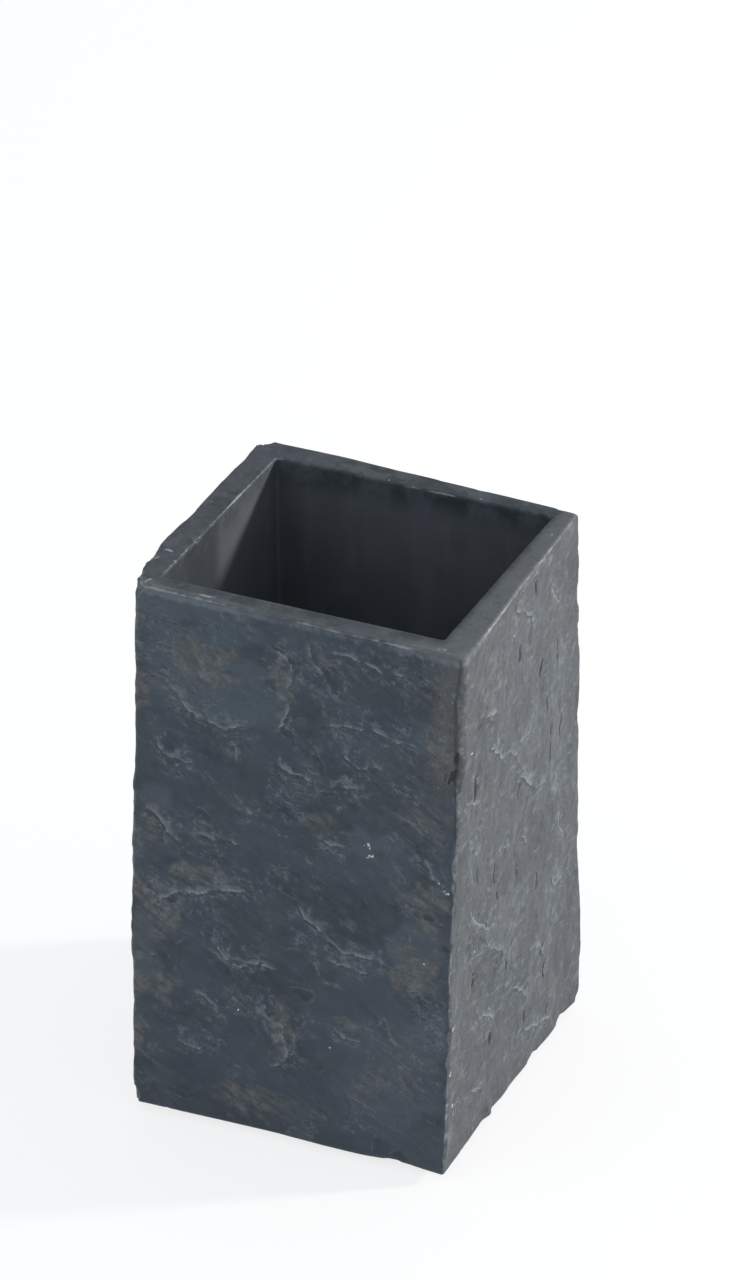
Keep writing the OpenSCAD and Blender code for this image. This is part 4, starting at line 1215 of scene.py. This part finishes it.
def smoothResin():
    material, add, inMm = newMaterial("smooth_cast_resin")
    p = smoothPaint
    names = ("inside", "leftWall", "leftWallShade", "edge", "band", "hurt", "scuff", "rimMark")
    painted = {name: add("Attribute", attribute_name=name, **ofMesh) for name in names}
    across = 1 / p["drawMarks"]
    drawn = add("Mapping", {"Vector": inMm, "Scale": (across, across, across / 8)})
    # patterns: where, period in mm, octaves
    patterns = {
        "clouds": (inMm, 9, 5.0), "greys": (inMm, 6, 5.0), "marks": (drawn, 1, 3.0),
        "spots": (inMm, 2.6, 5.0), "torn": (inMm, 1.3, 5.0), "grain": (inMm, 0.5, 3.0),
    }
    for name, (vector, period, octaves) in patterns.items():
        inputs = {"Vector": vector, "Scale": 1 / period, "Detail": octaves, "Roughness": 0.62}
        patterns[name] = add("TexNoise", inputs)
    clouds, greys, marks, spots, torn, grain = patterns.values()
    tear = add("Math", [torn, 0.5], operation="SUBTRACT")
    follow = {"edge": 2.0, "band": 1.0, "rimMark": 1.2}
    for name, by in follow.items():
        follow[name] = add("Math", [tear, by, painted[name]], operation="MULTIPLY_ADD")
    edge, band, mark = follow.values()
    onRim = add("Math", [1.0, painted["inside"]], operation="SUBTRACT")
    ground = layCoats(add, colour(p["flat"]), [
        (clouds, 0.57, 0.43, 0.95, [], "flatDeep"),
        (greys, 0.5, 0.6, 0.6, [onRim], "flatPale"),
        # the cavity painted paler than the rim: painted fill light
        (painted["inside"], 0, 1, 0.7, [], "inside"),
        (marks, 0.45, 0.7, 0.4, [painted["inside"]], "insidePale"),
        # painted light: the cavity's left wall takes a tone of its own for the light that falls on it
        (painted["leftWall"], 0, 1, 0.35, [], "leftWallLitTone"),
        # painted shade on the cavity's left wall, darkest towards the front
        (painted["leftWallShade"], 0, 1, 0.95, [], "leftWallShade"),
        (painted["scuff"], 0.15, 1.0, 0.6, [], "rub"),
        (spots, 0.5, 0.64, 0.3, [onRim], "flatPale"),
        (spots, 0.46, 0.34, 0.3, [onRim], "flatDeep"),
        (torn, 0.44, 0.34, 0.2, [onRim], "shadow"),
        (torn, 0.55, 0.68, 0.4, [painted["scuff"]], "scuff"),
        (band, 0.15, 0.95, 0.5, [], "scuff"),
        (edge, 0.3, 0.85, 0.7, [], "scuff"),
        (edge, 0.7, 1.2, 0.65, [], "line"),
        (torn, 0.54, 0.64, 0.5, [painted["hurt"]], "line"),
        (mark, 0.35, 0.15, 0.75, [], "line"),
    ], p)
    height = stackHeights(add, [(clouds, 0.10), (torn, 0.03), (grain, 0.015)])
    rough = [clouds, 0.35, 0.65, p["roughness"] - 0.05, p["roughness"] + 0.08]
    closeMaterial(add, ground, height, 0.7, 1, rough, {"IOR": 1.5, "Specular IOR Level": p["shine"]})
    return material


# Ground resin: the pour's open side, flattened on a belt. The belt cuts through the stain to the grey
# filler and leaves fine straight scratches with a few air bubbles.
groundPaint = {
    "filler": "#6f7372", "stain": "#4c545b", "bubble": "#2c3034", "scratch": "#8a8d8b",
    "scratchPitch": 0.35,                    # mm, far coarser than an 80 grit belt's, so that it shows
    "bubblePitch": 3.2, "cloudSize": 12,     # mm
}


def groundResin():
    material, add, inMm = newMaterial("ground_cast_resin")
    p = groundPaint
    drawn = (0.03, 1 / p["scratchPitch"], 1)
    belt = add("Mapping", {"Vector": inMm, "Rotation": (0, 0, 0.12), "Scale": drawn})
    scratches = add("TexNoise", {"Vector": belt, "Scale": 1.0, "Detail": 4.0, "Roughness": 0.7})
    clouds = add("TexNoise", {"Vector": inMm, "Scale": 1 / p["cloudSize"], "Detail": 5.0})
    bubbles = add("TexVoronoi", {"Vector": inMm, "Scale": 1 / p["bubblePitch"]}, "Distance")
    ground = layCoats(add, colour(p["filler"]), [
        (clouds, 0.4, 0.62, 1.0, [], "stain"),
        (scratches, 0.5, 0.75, 0.4, [], "scratch"),
        (bubbles, 0.16, 0.09, 0.8, [], "bubble"),
    ], p)
    hole = add("MapRange", [bubbles, 0.16, 0.09, 0, 1], **soft)
    height = stackHeights(add, [(scratches, 0.03), (hole, -0.2)])
    closeMaterial(add, ground, height, 0.7, 1, [scratches, 0.3, 0.7, 0.7, 0.82], {"IOR": 1.5})
    return material


# Foot rubber: solid black sheet, die-cut, so its face has a fine cloth-like tooth with a little dust in
# it and its sides are matt where the knife went through.
rubberPaint = {"black": "#262627", "dust": "#4a4a49", "dustSize": 2.5, "tooth": 0.45, "roughness": 0.84}


def footRubber():
    material, add, inMm = newMaterial("die_cut_rubber")
    p = rubberPaint
    tooth = add("TexVoronoi", {"Vector": inMm, "Scale": 1 / p["tooth"]}, "Distance")
    dust = add("TexNoise", {"Vector": inMm, "Scale": 1 / p["dustSize"], "Detail": 5.0, "Roughness": 0.7})
    ground = layCoats(add, colour(p["black"]), [(dust, 0.5, 0.75, 0.6, [], "dust")], p)
    rough = [dust, 0.3, 0.7, p["roughness"] - 0.06, p["roughness"] + 0.08]
    closeMaterial(add, ground, tooth, 0.5, 0.05, rough, {"IOR": 1.52})
    return material


# Adhesive film: cast acrylic, milky, slightly shiny at its cut edge, with tiny air pockets.
filmPaint = {"milk": "#d3d0c4", "pocket": "#b9b6aa", "pocketSize": 0.9, "roughness": 0.38}


def adhesiveFilm():
    material, add, inMm = newMaterial("acrylic_adhesive_film")
    p = filmPaint
    pockets = add("TexNoise", {"Vector": inMm, "Scale": 1 / p["pocketSize"], "Detail": 4.0})
    ground = layCoats(add, colour(p["milk"]), [(pockets, 0.45, 0.65, 1.0, [], "pocket")], p)
    rough = [pockets, 0.4, 0.7, p["roughness"], p["roughness"] + 0.12]
    closeMaterial(add, ground, pockets, 0.3, 0.03, rough, {"IOR": 1.47})
    return material


for made in (rivenResin(), smoothResin(), groundResin()):
    tumbler.data.materials.append(made)
rubber = footRubber()
film = adhesiveFilm()
for name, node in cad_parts.items():
    if name.startswith(("foot_", "film_")):
        node.data.materials.clear()
        node.data.materials.append(rubber if name.startswith("foot_") else film)
print("materials made")

# Floor, backdrop and lamps.
studio = {
    "floorSize": 9000,
    "floorGap": 0.02,        # under the feet, whose soles would flicker in its plane
    "sweep": "#9a9a9a", "sweepGlow": 0.78,   # together just white where they are seen
    "paper": ("#f4f4f3", "#f8f8f7"),         # what it throws back on the pieces
    "fill": 0.56,            # level of the room's even light
    "fillTint": "#e4ecf6",
    "ceiling": "#8c8c8c", "ceilingFrom": 0.15, "ceilingFull": 0.5,   # how far up it begins and is full
    "lampsAim": 60,          # height that the lamps point at
    "key": {"power": 12.0, "size": 110, "from": (0.83, 0.50, 0.29), "distance": 1300, "tint": "#fff9f2"},
    "front": {"power": 1.0, "size": 900, "from": (-0.45, -0.75, 0.65), "distance": 1500, "tint": "#eef3ff"},
}


def layFloor():
    half = studio["floorSize"] / 2 * mm
    mesh = bpy.data.meshes.new("floor")
    level = -studio["floorGap"] * mm
    corners = [(x, y, level) for x, y in ((-half, -half), (half, -half), (half, half), (-half, half))]
    mesh.from_pydata(corners, [], [(0, 1, 2, 3)])
    floor = addObject("floor", mesh)
    material, add, inMm = newMaterial("white_sweep")
    seen = [add("LightPath", take=name) for name in ("Is Camera Ray", "Is Glossy Ray")]
    seen = add("Math", seen, operation="MAXIMUM")
    tooth = add("TexNoise", {"Vector": inMm, "Scale": 0.9, "Detail": 2.0})
    pale, paler = [colour(code) for code in studio["paper"]]
    tone = add("Mix", {"Factor": tooth, "A": pale, "B": paler}, "Result", data_type="RGBA")
    matt = add("BsdfDiffuse", {"Color": tone})
    grey = add("BsdfDiffuse", {"Color": colour(studio["sweep"])})
    glow = add("Emission", {"Color": colour("#ffffff"), "Strength": studio["sweepGlow"]})
    bright = add("AddShader", [grey, glow])
    both = add("MixShader", [seen, matt, bright])
    add("OutputMaterial", {"Surface": both})
    mesh.materials.append(material)


def lightWorld():
    world = bpy.data.worlds.new("studio")
    bpy.context.scene.world = world
    world.use_nodes = True
    world.node_tree.nodes.clear()
    add = partial(addNode, world.node_tree)
    rays = [add("LightPath", take="Is %s Ray" % name) for name in ("Camera", "Glossy", "Transmission")]
    seen = add("Math", [add("Math", rays[:2], operation="MAXIMUM"), rays[2]], operation="MAXIMUM")
    room = add("Background", [colour(studio["fillTint"]), studio["fill"]])
    # the sweep is white round the horizon; only reflections meet the dim ceiling over it
    direction = add("TexCoord", take="Generated")
    upward = add("SeparateXYZ", [direction], "Z")
    dim = add("MapRange", [upward, studio["ceilingFrom"], studio["ceilingFull"], 0, 1], **soft)
    unseen = add("Math", [1.0, rays[0]], operation="SUBTRACT")
    dim = add("Math", [dim, unseen], operation="MULTIPLY")
    mixed = {"Factor": dim, "A": colour("#ffffff"), "B": colour(studio["ceiling"])}
    backdrop = add("Mix", mixed, "Result", data_type="RGBA")
    white = add("Background", [backdrop, 1.0])
    both = add("MixShader", [seen, room, white])
    add("OutputWorld", {"Surface": both})


def hangLamp(name):
    values = studio[name]
    data = bpy.data.lights.new(name + "_softbox", "AREA")
    data.energy = values["power"]
    data.shape = "SQUARE"
    data.size = values["size"] * mm
    data.color = colour(values["tint"])[:3]
    lamp = addObject(name + "_softbox", data)
    aim = Vector((0, 0, studio["lampsAim"] * mm))
    standOff(lamp, aim, Vector(values["from"]).normalized(), values["distance"])


layFloor()
lightWorld()
hangLamp("key")
hangLamp("front")
bpy.context.scene.view_settings.view_transform = "Standard"
print("studio lit")
